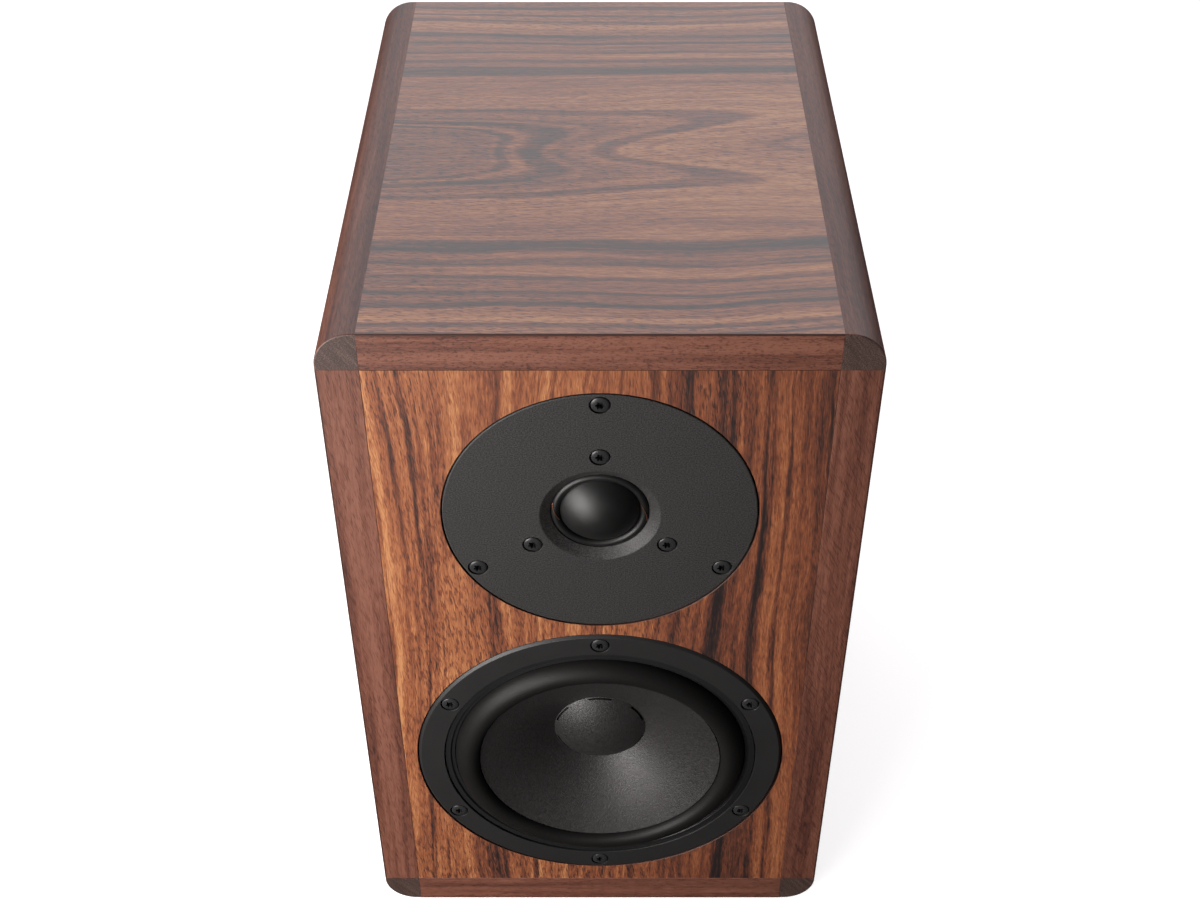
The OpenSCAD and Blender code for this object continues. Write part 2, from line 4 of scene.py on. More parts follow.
import bmesh
import bpy
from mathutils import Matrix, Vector


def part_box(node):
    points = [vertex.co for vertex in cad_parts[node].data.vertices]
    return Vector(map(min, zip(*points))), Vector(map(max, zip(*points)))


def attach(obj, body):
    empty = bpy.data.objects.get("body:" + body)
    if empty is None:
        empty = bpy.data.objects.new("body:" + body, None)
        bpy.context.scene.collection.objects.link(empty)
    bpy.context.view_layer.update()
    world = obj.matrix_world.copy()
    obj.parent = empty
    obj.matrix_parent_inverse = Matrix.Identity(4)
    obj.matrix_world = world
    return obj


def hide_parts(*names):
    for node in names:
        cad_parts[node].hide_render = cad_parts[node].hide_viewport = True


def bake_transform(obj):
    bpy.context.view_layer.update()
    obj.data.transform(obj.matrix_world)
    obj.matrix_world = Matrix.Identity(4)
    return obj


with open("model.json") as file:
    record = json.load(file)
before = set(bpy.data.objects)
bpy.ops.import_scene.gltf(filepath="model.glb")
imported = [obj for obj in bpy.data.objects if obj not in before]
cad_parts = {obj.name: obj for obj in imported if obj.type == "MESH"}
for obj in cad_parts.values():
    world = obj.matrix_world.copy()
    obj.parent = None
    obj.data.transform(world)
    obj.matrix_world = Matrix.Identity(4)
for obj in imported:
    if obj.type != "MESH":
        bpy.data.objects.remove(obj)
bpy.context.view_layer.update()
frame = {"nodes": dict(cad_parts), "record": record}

# The finished outside of a bookshelf speaker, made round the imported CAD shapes.

MM = 0.001  # outlines are in millimetres, everything placed in the scene is in metres
TURNS = 256  # steps round a large turned piece
MEDIUM_TURNS = 192  # round a dome, a knob or the port
POST_TURNS = 96  # round a washer or an insulator
SMALL_TURNS = 64  # round a screw, a stud or a bore

# ---------------------------------------------------------------- the frame

FRONT_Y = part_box("front_baffle")[0].y
REAR_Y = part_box("rear_panel")[1].y
CABINET_LO = Vector((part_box("left_panel")[0].x, FRONT_Y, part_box("bottom_panel")[0].z))
CABINET_HI = Vector((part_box("right_panel")[1].x, REAR_Y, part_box("top_panel")[1].z))
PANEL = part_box("top_panel")[1].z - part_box("top_panel")[0].z
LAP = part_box("top_panel")[1].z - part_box("front_strip_top")[1].z


class Axis:
    """A turning axis along Y. Heights count outward from a face, in millimetres, and up is 90 degrees."""

    def __init__(self, x, z, face_y, outward):
        self.x, self.z, self.y, self.outward = x, z, face_y, outward

    def point(self, x, up, height):
        return Vector((self.x + x * MM, self.y + self.outward * height * MM, self.z + up * MM))

    def at(self, r, degrees, height):
        a = math.radians(degrees)
        return self.point(r * math.cos(a), r * math.sin(a), height)

    def moved(self, x, up):
        """A parallel axis, x and up millimetres away."""
        return Axis(self.x + x * MM, self.z + up * MM, self.y, self.outward)

    def spot(self, r, degrees):
        """A parallel axis at a place round this one."""
        a = math.radians(degrees)
        return self.moved(r * math.cos(a), r * math.sin(a))

    def turned_point(self, degrees):
        """A call like point, for a shape that is turned round the axis."""
        c, s = math.cos(math.radians(degrees)), math.sin(math.radians(degrees))

        def place(x, up, height):
            return self.point(x * c - up * s, x * s + up * c, height)

        return place


def axis_of(node, face_y, outward):
    """The axis through the middle of a CAD node."""
    lo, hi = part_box(node)
    middle = (lo + hi) / 2
    return Axis(middle.x, middle.z, face_y, outward)


TWEETER = axis_of("tweeter_faceplate", FRONT_Y, -1)
WOOFER = axis_of("woofer_basket", FRONT_Y, -1)
PORT = axis_of("port_tube", REAR_Y, 1)
TERMINAL = axis_of("terminal_plate", REAR_Y, 1)
POSITIVE = axis_of("positive_knob", REAR_Y, 1)
NEGATIVE = axis_of("negative_knob", REAR_Y, 1)

# ---------------------------------------------------------------- node materials


class Nodes:
    """A node tree, with short calls for the nodes that this scene uses."""

    def __init__(self, tree):
        self.tree = tree

    def node(self, kind, inputs=(), **settings):
        made = self.tree.nodes.new(kind)
        for key, value in settings.items():
            setattr(made, key, value)
        for key, value in dict(inputs).items():
            if isinstance(value, bpy.types.NodeSocket):
                self.tree.links.new(value, made.inputs[key])
            else:
                made.inputs[key].default_value = value
        return made

    def math(self, operation, a, b=0.0, c=0.0):
        return self.node("ShaderNodeMath", {0: a, 1: b, 2: c}, operation=operation).outputs[0]

    def between(self, value, low, high):
        """0 below low and 1 above high, smoothly."""
        inputs = {"Value": value, "From Min": low, "From Max": high}
        return self.node("ShaderNodeMapRange", inputs, interpolation_type="SMOOTHSTEP").outputs["Result"]

    def remap(self, value, low, high):
        inputs = {"Value": value, "To Min": low, "To Max": high}
        return self.node("ShaderNodeMapRange", inputs).outputs["Result"]

    def around(self, noise, gain, middle=0.0):
        """A noise of 0 to 1 spread by gain about a new middle."""
        return self.math("MULTIPLY_ADD", noise, gain, middle - gain / 2)

    def split(self, vector):
        return self.node("ShaderNodeSeparateXYZ", {0: vector}).outputs

    def vector(self, x, y, z):
        return self.node("ShaderNodeCombineXYZ", {0: x, 1: y, 2: z}).outputs[0]

    def noise(self, vector, scale=1.0, detail=2.0, roughness=0.5, distortion=0.0):
        inputs = {
            "Vector": vector, "Scale": scale, "Detail": detail, "Roughness": roughness,
            "Distortion": distortion,
        }
        return self.node("ShaderNodeTexNoise", inputs).outputs["Fac"]

    def grained(self, across, length, depth, fine, slow, **settings):
        """Noise stretched along a grain: fine steps a metre across it and slow ones along it."""
        place = self.vector(
            self.math("MULTIPLY", across, fine),
            self.math("MULTIPLY", length, slow),
            self.math("MULTIPLY", depth, fine),
        )
        return self.noise(place, **settings)

    def mix(self, share, a, b, blend="MIX"):
        made = self.node("ShaderNodeMix", {"Factor": share}, data_type="RGBA", blend_type=blend)
        first, second, result = made.inputs[6], made.inputs[7], made.outputs[2]  # the sockets for colours
        for socket, value in ((first, a), (second, b)):
            if isinstance(value, bpy.types.NodeSocket):
                self.tree.links.new(value, socket)
            else:
                socket.default_value = (*value, 1.0)
        return result

    def shaded(self, colour, shade):
        """A colour made lighter or darker by a factor."""
        return self.mix(1.0, colour, self.vector(shade, shade, shade), "MULTIPLY")

    def ramp(self, value, stops):
        """A colour ramp through (position, colour) stops."""
        made = self.node("ShaderNodeValToRGB", {0: value})
        elements = made.color_ramp.elements
        while len(elements) < len(stops):
            elements.new(0.5)
        for element, (position, colour) in zip(elements, stops):
            element.position, element.color = position, (*colour, 1.0)
        return made.outputs[0]

    def bump(self, height, distance, strength):
        inputs = {"Height": height, "Distance": distance, "Strength": strength}
        return self.node("ShaderNodeBump", inputs).outputs["Normal"]


class Shader(Nodes):
    """A new material, with its Principled shader and its object coordinates."""

    def __init__(self, name, **uniform):
        self.material = bpy.data.materials.new(name)
        self.material.use_nodes = True
        super().__init__(self.material.node_tree)
        self.bsdf = self.tree.nodes["Principled BSDF"]
        for key, value in uniform.items():
            self.bsdf.inputs[key.replace("_", " ")].default_value = value
        coordinates = self.node("ShaderNodeTexCoord")
        self.place, self.normal = coordinates.outputs["Object"], coordinates.outputs["Normal"]

    def paint(self, **links):
        for key, value in links.items():
            self.tree.links.new(value, self.bsdf.inputs[key.replace("_", " ")])
        return self.material


# ---------------------------------------------------------------- wood

SEED_STEPS = (1.37, 0.71, 2.13)  # metres that each seed moves a grain across, along and in depth
WOOD_RELIEF, WOOD_BUMP = 0.06 * MM, 0.6
VENEER = [
    (0.06, (0.014, 0.010, 0.010)),
    (0.24, (0.042, 0.019, 0.015)),
    (0.42, (0.120, 0.038, 0.021)),
    (0.58, (0.215, 0.066, 0.030)),
    (0.76, (0.350, 0.124, 0.050)),
    (0.96, (0.520, 0.240, 0.100)),
]
SOLID = [
    (0.10, (0.030, 0.011, 0.009)),
    (0.35, (0.084, 0.027, 0.018)),
    (0.55, (0.150, 0.052, 0.031)),
    (0.80, (0.230, 0.092, 0.060)),
]
END_GRAIN = [
    (0.20, (0.014, 0.008, 0.007)),
    (0.50, (0.050, 0.028, 0.023)),
    (0.80, (0.150, 0.095, 0.078)),
]


def grain_axes(s, along, seed):
    """Object coordinates as (across, along, depth), so that the grain runs along the named axis."""
    x, y, z = s.split(s.place)
    axes = {"x": (y, x, z), "y": (x, y, z), "z": (x, z, y)}[along]
    return [s.math("ADD", axis, seed * step) for axis, step in zip(axes, SEED_STEPS)]


def dark_bands(s, distance, places):
    """Soft dark bands, each a (place, half width, strength) in metres."""
    dark = 0.0
    for place, half, strength in places:
        off = s.math("ABSOLUTE", s.math("SUBTRACT", distance, place))
        band = s.math("MULTIPLY", s.between(off, half, half * 0.3), strength)
        dark = s.math("MAXIMUM", band, dark)
    return dark


def arch_distance(s, from_pith, from_end):
    """How far out a flat-sawn leaf's ring is. Rings run straight and close in long arches at the pith."""
    taper, gap, spread = 0.30, 0.0024, 0.020
    share = s.math("POWER", s.math("DIVIDE", from_pith, spread), 2.0)
    near = s.math("DIVIDE", 1.0, s.math("ADD", share, 1.0))
    rise = s.math("MULTIPLY_ADD", s.math("MULTIPLY", from_end, taper), near, gap)
    squares = s.math("ADD", s.math("MULTIPLY", from_pith, from_pith), s.math("MULTIPLY", rise, rise))
    return s.math("SQRT", squares)


def rosewood(name, along, seed, coat=0.9, lines=1.0, streaks=(), slope=0.0, lift=0.0, pith=None, arches=()):
    """Rosewood veneer: bands, flames and short fibres along the grain, with dark ink lines.

    streaks are dark bands along the grain. slope darkens the leaf steadily across it, which is painted shade
    for light that falls off across the board, and lift makes it paler. pith is where a flat-sawn leaf's
    centre line lies across the grain, and arches are then its dark arches.
    """
    s = Shader(name, Coat_Weight=coat, Coat_Roughness=0.42, Coat_IOR=1.5, Specular_IOR_Level=0.5)
    across, length, depth = grain_axes(s, along, seed)

    def layer(place, fine, slow, **settings):
        return s.grained(place, length, depth, fine, slow, **settings)

    sway = s.around(layer(across, 7.0, 4.0), 0.034)
    ripple = s.around(layer(across, 70.0, 20.0, detail=3.0, roughness=0.6), 0.0040)
    bent = s.math("ADD", s.math("ADD", across, sway), ripple)
    from_edge = s.math("SUBTRACT", bent, seed * SEED_STEPS[0])
    if pith is None:
        ringed, drawn = bent, dark_bands(s, from_edge, streaks)
        ragged, faded = 0.35, 0.35
    else:
        from_end = s.math("SUBTRACT", length, seed * SEED_STEPS[1] + CABINET_LO.x)
        ring = arch_distance(s, s.math("SUBTRACT", from_edge, pith), from_end)
        ringed, drawn = s.math("ADD", ring, seed), dark_bands(s, ring, arches)
        ragged, faded = 0.75, 0.90

    bands = layer(ringed, 42.0, 0.8, detail=1.0)
    rings = layer(ringed, 210.0, 3.0, detail=3.0, roughness=0.6)
    contour = layer(ringed, 60.0, 1.2, detail=1.0)
    strength = layer(bent, 40.0, 9.0)
    flames = layer(bent, 560.0, 17.0, detail=5.0, roughness=0.70)
    fibre = layer(bent, 2600.0, 190.0, roughness=0.7)
    lean = 0.12
    pores = layer(s.math("MULTIPLY_ADD", length, lean, across), 1900.0, 250.0, detail=1.0)
    figure = layer(across, 12.0, 6.0, detail=1.0)

    # slope tilts the tone across the leaf: painted shade, darker on the side that the light falls off
    # towards.
    tone = s.math("MULTIPLY_ADD", from_edge, slope, s.around(bands, 0.7, 0.60 + lift))
    for noise, gain in ((rings, 0.75), (flames, 0.70), (fibre, 0.80)):
        tone = s.math("ADD", tone, s.around(noise, gain))

    # Thin ink lines follow a contour of the rings, and clusters of them fill the darkest bands.
    off_line = s.math("ABSOLUTE", s.math("SUBTRACT", contour, 0.5))
    line = s.math("SUBTRACT", 1.0, s.between(off_line, 0.008, 0.040))
    cluster = s.math("MULTIPLY", s.between(rings, 0.50, 0.60), s.between(bands, 0.48, 0.36))
    ink = s.math("MAXIMUM", s.math("MULTIPLY", line, s.between(strength, 0.42, 0.56)), cluster)
    feather = s.remap(s.between(flames, 0.64, 0.40), 0.15, 1.0)
    ink = s.math("MULTIPLY", s.math("MULTIPLY", ink, lines), feather)
    drawn = s.math("MULTIPLY", drawn, s.remap(s.between(flames, 0.66, 0.38), ragged, 1.0))
    drawn = s.math("MULTIPLY", drawn, s.remap(s.between(strength, 0.38, 0.56), faded, 1.0))
    tone = s.math("MULTIPLY_ADD", s.math("MAXIMUM", ink, drawn), -0.46, tone)

    pore = s.math("MULTIPLY", s.between(pores, 0.54, 0.64), s.remap(s.between(figure, 0.40, 0.60), 0.5, 1.2))
    tone = s.math("MULTIPLY_ADD", pore, -0.22, tone)
    relief = s.math("SUBTRACT", s.math("MULTIPLY", fibre, 0.5), pore)
    normal = s.bump(relief, WOOD_RELIEF, WOOD_BUMP)
    return s.paint(Base_Color=s.ramp(tone, VENEER), Roughness=s.remap(fibre, 0.40, 0.56), Normal=normal)


def solid_wood(name, along, seed, lift=0.0, lean=0.20, pore_depth=0.16, coat=0.5):
    """Reddish solid wood with a close grain and leaning pores. Its end grain has grey speckles in rings."""
    s = Shader(name, Coat_Weight=coat, Coat_Roughness=0.45, Coat_IOR=1.5)
    across, length, depth = grain_axes(s, along, seed)

    def layer(place, fine, slow, **settings):
        return s.grained(place, length, depth, fine, slow, **settings)

    bent = s.math("ADD", across, s.around(layer(across, 14.0, 5.0), 0.010))
    rings = layer(bent, 140.0, 4.0, detail=3.0, roughness=0.6)
    bands = layer(bent, 420.0, 10.0, detail=4.0, roughness=0.65)
    fibre = layer(across, 2300.0, 170.0, roughness=0.7)
    pores = layer(s.math("MULTIPLY_ADD", length, lean, across), 1900.0, 210.0, detail=1.0)
    pore = s.between(pores, 0.54, 0.66)
    tone = s.around(rings, 0.75, 0.60 + lift)
    for noise, gain in ((bands, 0.90), (fibre, 0.80)):
        tone = s.math("ADD", tone, s.around(noise, gain))
    tone = s.math("MULTIPLY_ADD", pore, -pore_depth, tone)

    facing = s.math("ABSOLUTE", s.split(s.normal)["XYZ".index(along.upper())])
    speckle = layer(across, 2300.0, 2300.0, roughness=0.7)
    slope = s.math("ADD", s.math("MULTIPLY", across, 0.8), s.math("MULTIPLY", depth, 0.6))
    rays = s.noise(s.vector(s.math("MULTIPLY", slope, 900.0), s.math("MULTIPLY", depth, 90.0), 0.0))
    mottle = s.math("ADD", s.around(speckle, 1.1, 0.54), s.around(rays, 0.45))
    colour = s.mix(s.between(facing, 0.80, 0.95), s.ramp(tone, SOLID), s.ramp(mottle, END_GRAIN))
    relief = s.math("SUBTRACT", s.math("MULTIPLY", fibre, 0.4), pore)
    normal = s.bump(relief, WOOD_RELIEF, WOOD_BUMP)
    return s.paint(Base_Color=colour, Roughness=s.remap(fibre, 0.42, 0.60), Normal=normal)


# ---------------------------------------------------------------- plastics, metals and cloth


def moulded(
    name, colour, rough, grain_mm, relief, metallic=0.0, patch=0.15, coat=0.0, sheen=0.0, specular=0.5,
):
    """A plain finish with its own fine grain: colour and roughness vary a little in patches and grain."""
    uniform = {"Metallic": metallic, "Coat_Weight": coat, "Coat_Roughness": 0.2, "Sheen_Weight": sheen}
    s = Shader(name, Specular_IOR_Level=specular, **uniform)
    grain = s.noise(s.place, 1 / (grain_mm * MM), detail=3.0, roughness=0.6)
    patches = s.noise(s.place, 60.0, detail=3.0)
    shade = s.math("MULTIPLY", s.remap(grain, 0.8, 1.2), s.remap(patches, 1.0 - patch, 1.0 + patch))
    roughness = s.math("MULTIPLY", s.remap(patches, 0.9, 1.1), s.remap(grain, rough * 0.88, rough * 1.12))
    normal = s.bump(grain, relief * MM, 0.6)
    return s.paint(Base_Color=s.shaded(colour, shade), Roughness=roughness, Normal=normal)


def textured_plate(name):
    """Fine, hard-textured matte black paint, with tiny brighter specks."""
    s = Shader(name, Specular_IOR_Level=0.55)
    grain = s.noise(s.place, 2000.0, detail=3.0, roughness=0.7)
    pits = s.node("ShaderNodeTexVoronoi", {"Vector": s.place, "Scale": 1300.0}).outputs["Distance"]
    patches = s.noise(s.place, 45.0, detail=3.0)
    height = s.math("ADD", s.math("MULTIPLY", grain, 0.7), s.math("MULTIPLY", pits, 0.5))
    shade = s.math("MULTIPLY", s.around(grain, 7.0, 1.0), s.remap(patches, 0.92, 1.08))
    colour = s.shaded((0.0255, 0.0246, 0.0242), shade)
    normal = s.bump(height, 0.07 * MM, 0.6)
    return s.paint(Base_Color=colour, Roughness=s.remap(grain, 0.48, 0.68), Normal=normal)


def cone_skin(name):
    """Satin polymer with a soft, leathery speckle."""
    s = Shader(name, Specular_IOR_Level=0.52)
    leather = s.noise(s.place, 1050.0, detail=4.0, roughness=0.62, distortion=0.6)
    speck = s.noise(s.place, 2700.0)
    patches = s.noise(s.place, 70.0, detail=3.0)
    shade = s.math("MULTIPLY", s.around(leather, 1.3, 1.0), s.remap(patches, 0.9, 1.1))
    rough = s.math("ADD", s.around(leather, 0.55, 0.46), s.around(speck, 0.30))
    height = s.math("ADD", leather, s.math("MULTIPLY", speck, 0.35))
    colour = s.shaded((0.023, 0.0215, 0.0212), shade)
    return s.paint(Base_Color=colour, Roughness=rough, Normal=s.bump(height, 0.18 * MM, 0.8))


def coated_silk(name):
    """Fine woven silk under a rubbery coating, on a dome."""
    s = Shader(name, Specular_IOR_Level=0.55)
    thread = 2 * math.pi / (0.28 * MM)
    x, _, z = s.split(s.place)
    warp, weft = (s.math("SINE", s.math("MULTIPLY", axis, thread)) for axis in (x, z))
    weave = s.math("MULTIPLY", warp, weft)
    blotch = s.noise(s.place, 240.0, detail=3.0)
    shade = s.math("MULTIPLY", s.remap(blotch, 0.75, 1.25), s.math("MULTIPLY_ADD", weave, 0.10, 1.0))
    colour = s.shaded((0.005, 0.005, 0.005), shade)
    normal = s.bump(weave, 0.010 * MM, 0.4)
    return s.paint(Base_Color=colour, Roughness=s.remap(blotch, 0.42, 0.52), Normal=normal)


def brushed(name, colour, rough, metallic=1.0):
    """Metal brushed along X."""
    s = Shader(name, Metallic=metallic)
    x, y, z = s.split(s.place)
    lines = s.grained(z, x, y, 4200.0, 60.0, roughness=0.7)
    patches = s.noise(s.place, 50.0)
    tint = s.shaded(colour, s.math("MULTIPLY", s.remap(lines, 0.8, 1.2), s.remap(patches, 0.92, 1.08)))
    roughness = s.remap(lines, rough * 0.8, rough * 1.25)
    return s.paint(Base_Color=tint, Roughness=roughness, Normal=s.bump(lines, 0.02 * MM, 0.4))


# Each moulded finish has its colour, roughness, and grain and relief in millimetres.
MATERIALS = {
    "veneer_edge": moulded("veneer_edge", (0.055, 0.020, 0.013), 0.5, 0.5, 0.02, patch=0.3),
    "plate_black": textured_plate("plate_black"),
    "frame_black": moulded("frame_black", (0.0175, 0.0172, 0.0172), 0.46, 0.55, 0.020, patch=0.08),
    "clamp_black": moulded("clamp_black", (0.013, 0.013, 0.0135), 0.36, 0.6, 0.015),
    "surround_rubber": moulded("surround_rubber", (0.0078, 0.0075, 0.0072), 0.50, 0.8, 0.012, specular=0.22),
    "cone_black": cone_skin("cone_black"),
    "dome_fabric": coated_silk("dome_fabric"),
    "screw_black": moulded("screw_black", (0.040, 0.040, 0.041), 0.31, 0.25, 0.004, metallic=0.35),
    "port_plastic": moulded("port_plastic", (0.022, 0.022, 0.023), 0.50, 0.5, 0.03),
    "steel": brushed("steel", (0.56, 0.56, 0.57), 0.32),
    "magnet_ferrite": moulded("magnet_ferrite", (0.055, 0.055, 0.06), 0.55, 0.8, 0.04),
    "copper": moulded("copper", (0.62, 0.26, 0.15), 0.32, 0.4, 0.006, metallic=0.9),
    "gold_plate": moulded("gold_plate", (0.80, 0.56, 0.22), 0.20, 0.3, 0.003, metallic=1.0, patch=0.06),
    "black_plastic": moulded("black_plastic", (0.022, 0.022, 0.023), 0.36, 0.4, 0.010),
    "red_plastic": moulded("red_plastic", (0.42, 0.014, 0.012), 0.24, 0.5, 0.006, coat=0.4),
    "foam": moulded("foam", (0.085, 0.085, 0.088), 0.9, 0.7, 0.12, sheen=0.3),
    "spider_cloth": moulded("spider_cloth", (0.42, 0.31, 0.13), 0.8, 0.4, 0.06, sheen=0.2),
    "former_film": moulded("former_film", (0.42, 0.27, 0.08), 0.3, 0.6, 0.004),
    "circuit_board": moulded("circuit_board", (0.02, 0.10, 0.05), 0.35, 0.5, 0.01, coat=0.2),
    "cable_sleeve": moulded("cable_sleeve", (0.24, 0.02, 0.02), 0.4, 0.6, 0.01),
    "capacitor_film": moulded("capacitor_film", (0.02, 0.03, 0.13), 0.3, 0.5, 0.008),
    "resistor_ceramic": moulded("resistor_ceramic", (0.64, 0.63, 0.58), 0.7, 0.4, 0.02),
    "anodised": brushed("anodised_black", (0.030, 0.030, 0.032), 0.34, metallic=0.6),
}

# ---------------------------------------------------------------- meshes


def soften(points, steps=4):
    """An outline of (x, y) or (x, y, radius) points, with a round corner wherever a radius is given."""
    made = []
    for i, point in enumerate(points):
        here = Vector(point[:2])
        radius = point[2] if len(point) > 2 else 0.0
        if not radius:
            made.append(tuple(here))
            continue
        back = Vector(points[i - 1][:2]) - here
        ahead = Vector(points[(i + 1) % len(points)][:2]) - here
        a = here + back.normalized() * min(radius, back.length * 0.48)
        b = here + ahead.normalized() * min(radius, ahead.length * 0.48)
        for k in range(steps + 1):
            t = k / steps
            made.append(tuple(a * (1 - t) ** 2 + here * 2 * t * (1 - t) + b * t * t))
    return made


def arc(cx, cy, rx, ry, start, end, steps):
    return [
        (cx + rx * math.cos(math.radians(a)), cy + ry * math.sin(math.radians(a)))
        for a in (start + (end - start) * k / steps for k in range(steps + 1))
    ]


def circle(x, y, r):
    """A closed outline of 60 points."""
    return arc(x, y, r, r, 0, 354, 59)


def rounded_rect(width, height, radius, steps=10):
    x, y = width / 2 - radius, height / 2 - radius
    corners = ((x, y, 0), (-x, y, 90), (-x, -y, 180), (x, -y, 270))
    return [p for cx, cy, a in corners for p in arc(cx, cy, radius, radius, a, a + 90, steps)]


def mesh_from(name, verts, faces):
    mesh = bpy.data.meshes.new(name)
    mesh.from_pydata([tuple(v) for v in verts], [], faces)
    bm = bmesh.new()
    bm.from_mesh(mesh)
    bmesh.ops.remove_doubles(bm, verts=bm.verts, dist=1e-7)
    bmesh.ops.dissolve_degenerate(bm, edges=bm.edges, dist=1e-8)
    bmesh.ops.recalc_face_normals(bm, faces=bm.faces)
    bm.to_mesh(mesh)
    bm.free()
    return mesh


def lofted(name, rings):
    """A closed shape through rings of equally many points, flat at both ends."""
    n, last = len(rings[0]), len(rings) - 1
    faces = [
        (i * n + k, i * n + (k + 1) % n, (i + 1) * n + (k + 1) % n, (i + 1) * n + k)
        for i in range(last) for k in range(n)
    ]
    faces += [tuple(range(n - 1, -1, -1)), tuple(range(last * n, last * n + n))]
    return mesh_from(name, [v for ring in rings for v in ring], faces)


def prism(name, outline, place, low, high):
    """A closed outline pushed from low to high. place(u, v, depth) puts a point in the scene."""
    return lofted(name, [[place(u, v, d) for u, v in outline] for d in (low, high)])


def turned(name, axis, outline, steps=TURNS, wobble=None):
    """A closed outline of (radius, height) points turned about an axis.

    wobble(degrees, radius, height) may move a point's radius.
    """
    verts, faces = [], []
    for r, h in outline:
        for k in range(steps):
            a = 360.0 * k / steps
            verts.append(axis.at(wobble(a, r, h) if wobble else r, a, h))
    count = len(outline)
    for i in range(count):
        j = (i + 1) % count
        if outline[i][0] < 1e-6 and outline[j][0] < 1e-6:
            continue
        for k in range(steps):
            m = (k + 1) % steps
            faces.append((i * steps + k, i * steps + m, j * steps + m, j * steps + k))
    return mesh_from(name, verts, faces)


def tube(name, points, radius, sides=12):
    """A round wire along points, closed at both ends."""
    rings = []
    side = Vector((0, 1, 0))
    for i, p in enumerate(points):
        heading = (points[min(i + 1, len(points) - 1)] - points[max(i - 1, 0)]).normalized()
        u = (side - heading * side.dot(heading)).normalized()
        v = heading.cross(u)
        turns = [math.tau * k / sides for k in range(sides)]
        rings.append([p + radius * (u * math.cos(a) + v * math.sin(a)) for a in turns])
    return lofted(name, rings)


def joined(name, meshes):
    bm = bmesh.new()
    for mesh in meshes:
        bm.from_mesh(mesh)
    mesh = bpy.data.meshes.new(name)
    bm.to_mesh(mesh)
    bm.free()
    return mesh


def cut(mesh, cutters):
    """The mesh with the cutters' shapes taken out of it."""
    body = bpy.data.objects.new("cut_body", mesh)
    tool = bpy.data.objects.new("cut_tool", joined("cut_tool", cutters))
    for obj in (body, tool):
        bpy.context.scene.collection.objects.link(obj)
    boolean = body.modifiers.new("cut", "BOOLEAN")
    boolean.operation, boolean.solver, boolean.object = "DIFFERENCE", "EXACT", tool
    view = bpy.context.evaluated_depsgraph_get()
    made = bpy.data.meshes.new_from_object(body.evaluated_get(view))
    made.name = mesh.name
    for obj in (body, tool):
        bpy.data.objects.remove(obj)
    return made


def piece(name, mesh, material, slot, body, node, sharp=32.0, weighted=True, ride=True):
    """Puts a finished mesh in the scene, on a CAD body, in place of the CAD node that it stands for."""
    mesh.materials.clear()
    mesh.materials.append(material)
    mesh.shade_smooth()
    mesh.set_sharp_from_angle(angle=math.radians(sharp))
    obj = bpy.data.objects.new(name, mesh)
    bpy.context.scene.collection.objects.link(obj)
    if weighted:
        normals = obj.modifiers.new("weighted", "WEIGHTED_NORMAL")
        normals.keep_sharp = True
        normals.weight = 80
    if ride:
        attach(obj, body)
    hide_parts(node)
    return obj


def detailed(node, mesh, finish, body="cabinet", slot=None, **settings):
    """The finished shape of a driver's, port's or terminal's node, in one of the MATERIALS."""
    return piece(node + "_detailed", mesh, MATERIALS[finish], slot or finish, body, node, **settings)


def flex(obj, axis, moving_r, still_r):
    """Bakes the piece's place into its mesh; the piece is not put on a body and does not bend."""
    axis.at(still_r, 0, 0)
    axis.at(moving_r, 0, 0)
    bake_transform(obj)


# ---------------------------------------------------------------- camera, floor and light


def studio():
    scene = bpy.context.scene
    scene.view_settings.view_transform = "Standard"
    camera_data = bpy.data.cameras.new("camera")
    camera_data.lens, camera_data.sensor_width, camera_data.shift_y = 50.0, 36.0, -0.034
    camera = bpy.data.objects.new("camera", camera_data)
    camera.location = (0.0, -0.5378, 0.6306)
    camera.rotation_euler = (math.radians(50.08), 0.0, 0.0)
    scene.collection.objects.link(camera)
    scene.camera = camera
    surroundings(scene)
    backdrop()
    softbox(
        "key", place=(-0.38, -0.64, 0.23), aim=(0, -0.10, 0.20), width=0.34, height=0.42, power=4.4,
        colour=(1.0, 0.962, 0.94),
    )
    softbox(
        "side", place=(-0.52, -0.40, 0.32), aim=(0, -0.08, 0.22), width=0.3, height=0.35, power=3.0,
        colour=(1.0, 0.967, 0.945),
    )


def surroundings(scene):
    """A dim room with a tall white backdrop behind the speaker, which the cabinet's top reflects."""
    floor_level, room_level, backdrop_level, green = 0.02, 0.04, 1.5, 0.97
    world = bpy.data.worlds.new("studio")
    world.use_nodes = True
    room = Nodes(world.node_tree)
    _, y, z = room.split(room.node("ShaderNodeTexCoord").outputs["Generated"])
    above = room.between(z, -0.15, 0.25)
    behind = room.math("MULTIPLY", room.between(y, -0.1, 0.6), room.between(z, 0.0, 0.3))
    level = room.math("MULTIPLY_ADD", above, room_level, floor_level)
    level = room.math("MULTIPLY_ADD", behind, backdrop_level, level)
    colour = room.vector(level, room.math("MULTIPLY", level, green), level)
    room.tree.links.new(colour, room.tree.nodes["Background"].inputs["Color"])
    scene.world = world


def paper(name, verts, faces, glow):
    """Pale paper that glows a little, so that it stays white without brightening the black parts."""
    mesh = bpy.data.meshes.new(name)
    mesh.from_pydata(verts, [], faces)
    s = Shader(name, Emission_Color=(1.0, 1.0, 1.0, 1.0), Emission_Strength=glow)
    fibre = s.noise(s.place, 900.0)
    shade = s.remap(fibre, 0.86, 0.90)
    grey = s.vector(shade, shade, shade)
    mesh.materials.append(s.paint(Base_Color=grey, Roughness=s.remap(fibre, 0.8, 0.95)))
    sheet = bpy.data.objects.new(name, mesh)
    sheet.visible_glossy = False
    sheet.visible_diffuse = False
    bpy.context.scene.collection.objects.link(sheet)
    return sheet


